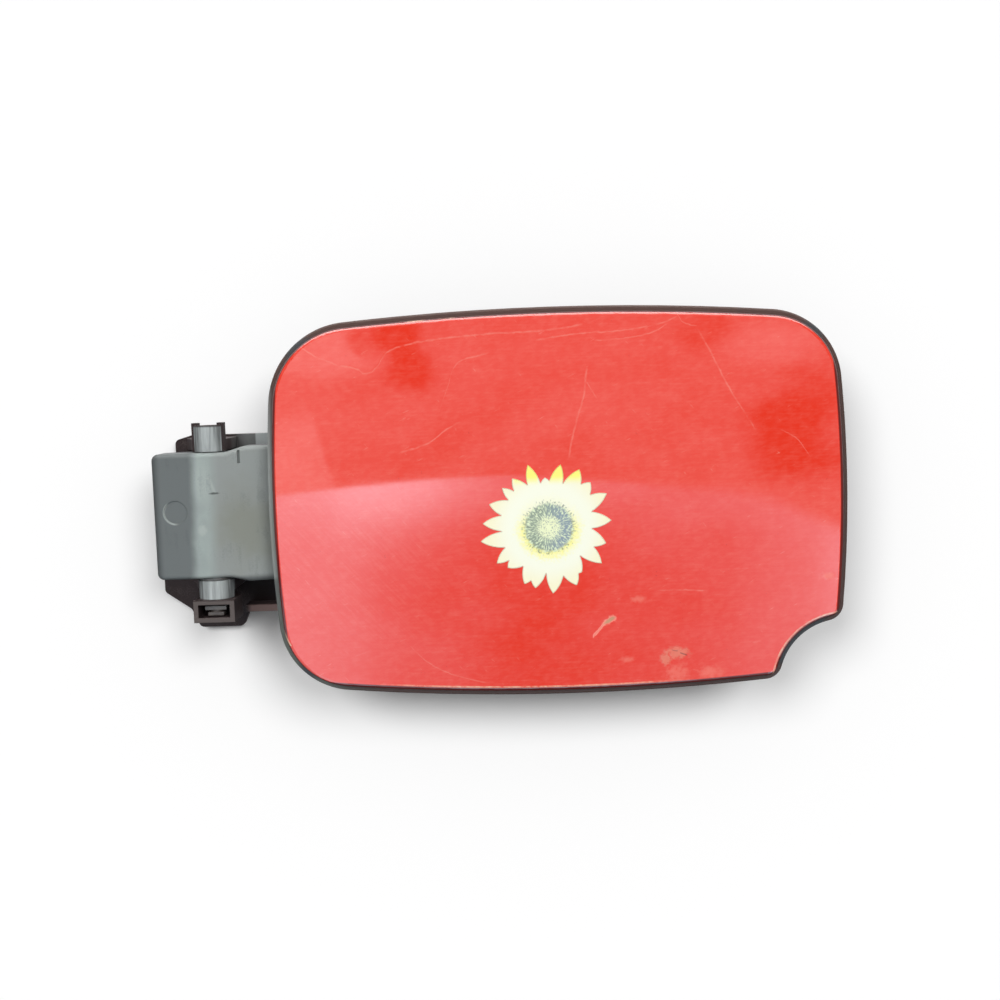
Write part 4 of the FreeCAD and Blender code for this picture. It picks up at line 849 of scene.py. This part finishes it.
# %% [markdown]
# ## Steel, nylon, rubber and the stopper
# The small pieces are plain stock materials: a dark phosphated pin, a bright spring, a nylon
# washer, black mouldings and rubber. Each has one noise for its tone and one for its grain,
# so one function makes them all and only the numbers differ.

# %% Small pieces
def stock(name, dark, light, blot_mm, grain_mm, relief_mm, roughness, metallic=0.0):
    """A plain material with a blotchy tone and a fine grain."""
    material, place = new_finish(name)
    tone = place.noise(blot_mm, detail=4, seed=1)
    grain = place.noise(grain_mm, detail=2, seed=2)
    rounded, proud = soft_edges(place, 0.3)
    colour = (tone + 0.3 * grain + 0.6 * proud).rise(-0.2, 0.25).mix(dark, light)
    wire(
        material,
        Base_Color=colour,
        Metallic=metallic,
        Roughness=roughness + 0.2 * tone + 0.1 * grain,
        Normal=bump(grain * relief_mm, rounded),
    )
    return material


phosphate = stock(
    "phosphate", (0.060, 0.049, 0.045), (0.13, 0.11, 0.10),
    blot_mm=4, grain_mm=0.4, relief_mm=0.01, roughness=0.50, metallic=0.2,
)
dress(phosphate, "hinge_pin")
spring_wire = stock(
    "spring_wire", (0.40, 0.40, 0.41), (0.62, 0.62, 0.64),
    blot_mm=3, grain_mm=0.3, relief_mm=0.006, roughness=0.30, metallic=0.95,
)
dress(spring_wire, "stopper_spring")
dark_nylon = stock(
    "dark_nylon", (0.050, 0.047, 0.045), (0.11, 0.105, 0.10),
    blot_mm=3, grain_mm=0.4, relief_mm=0.008, roughness=0.50,
)
dress(dark_nylon, "friction_washer")
moulding = stock(
    "stopper_moulding", (0.030, 0.030, 0.032), (0.085, 0.085, 0.090),
    blot_mm=9, grain_mm=0.5, relief_mm=0.02, roughness=0.48,
)
dress(moulding, "retaining_ring", "lock_striker", "stopper_body")
rubber = stock(
    "black_rubber", (0.018, 0.018, 0.018), (0.045, 0.044, 0.043),
    blot_mm=5, grain_mm=0.35, relief_mm=0.02, roughness=0.72,
)
dress(rubber, "stopper_seal", "upper_buffer", "lower_buffer")

# %% [markdown] ## The spring The conical spring under the stopper is a rigid coil in the CAD model, so it would stick into the stopper when that is pushed in by its whole travel.
# It is not shortened here: the copied triangles are merged, edges bent more than 35 degrees are
# marked sharp, and the merged copy takes the CAD node's place on the flap, which is hidden.

# %% Spring
SHARP_EDGE = math.radians(35)

shape = bmesh.new()
shape.from_mesh(nodes["stopper_spring"].data)
bmesh.ops.remove_doubles(shape, verts=shape.verts, dist=1e-6)
for edge in shape.edges:
    edge.smooth = edge.calc_face_angle(0) < SHARP_EDGE
coil_mesh = bpy.data.meshes.new("spring_coil")
shape.to_mesh(coil_mesh)
shape.free()
spring_coil = bpy.data.objects.new("spring_coil", coil_mesh)
scene.collection.objects.link(spring_coil)
coil_mesh.materials.append(spring_wire)
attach(spring_coil, "flap")
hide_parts("stopper_spring")
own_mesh(spring_coil)

# %% [markdown]
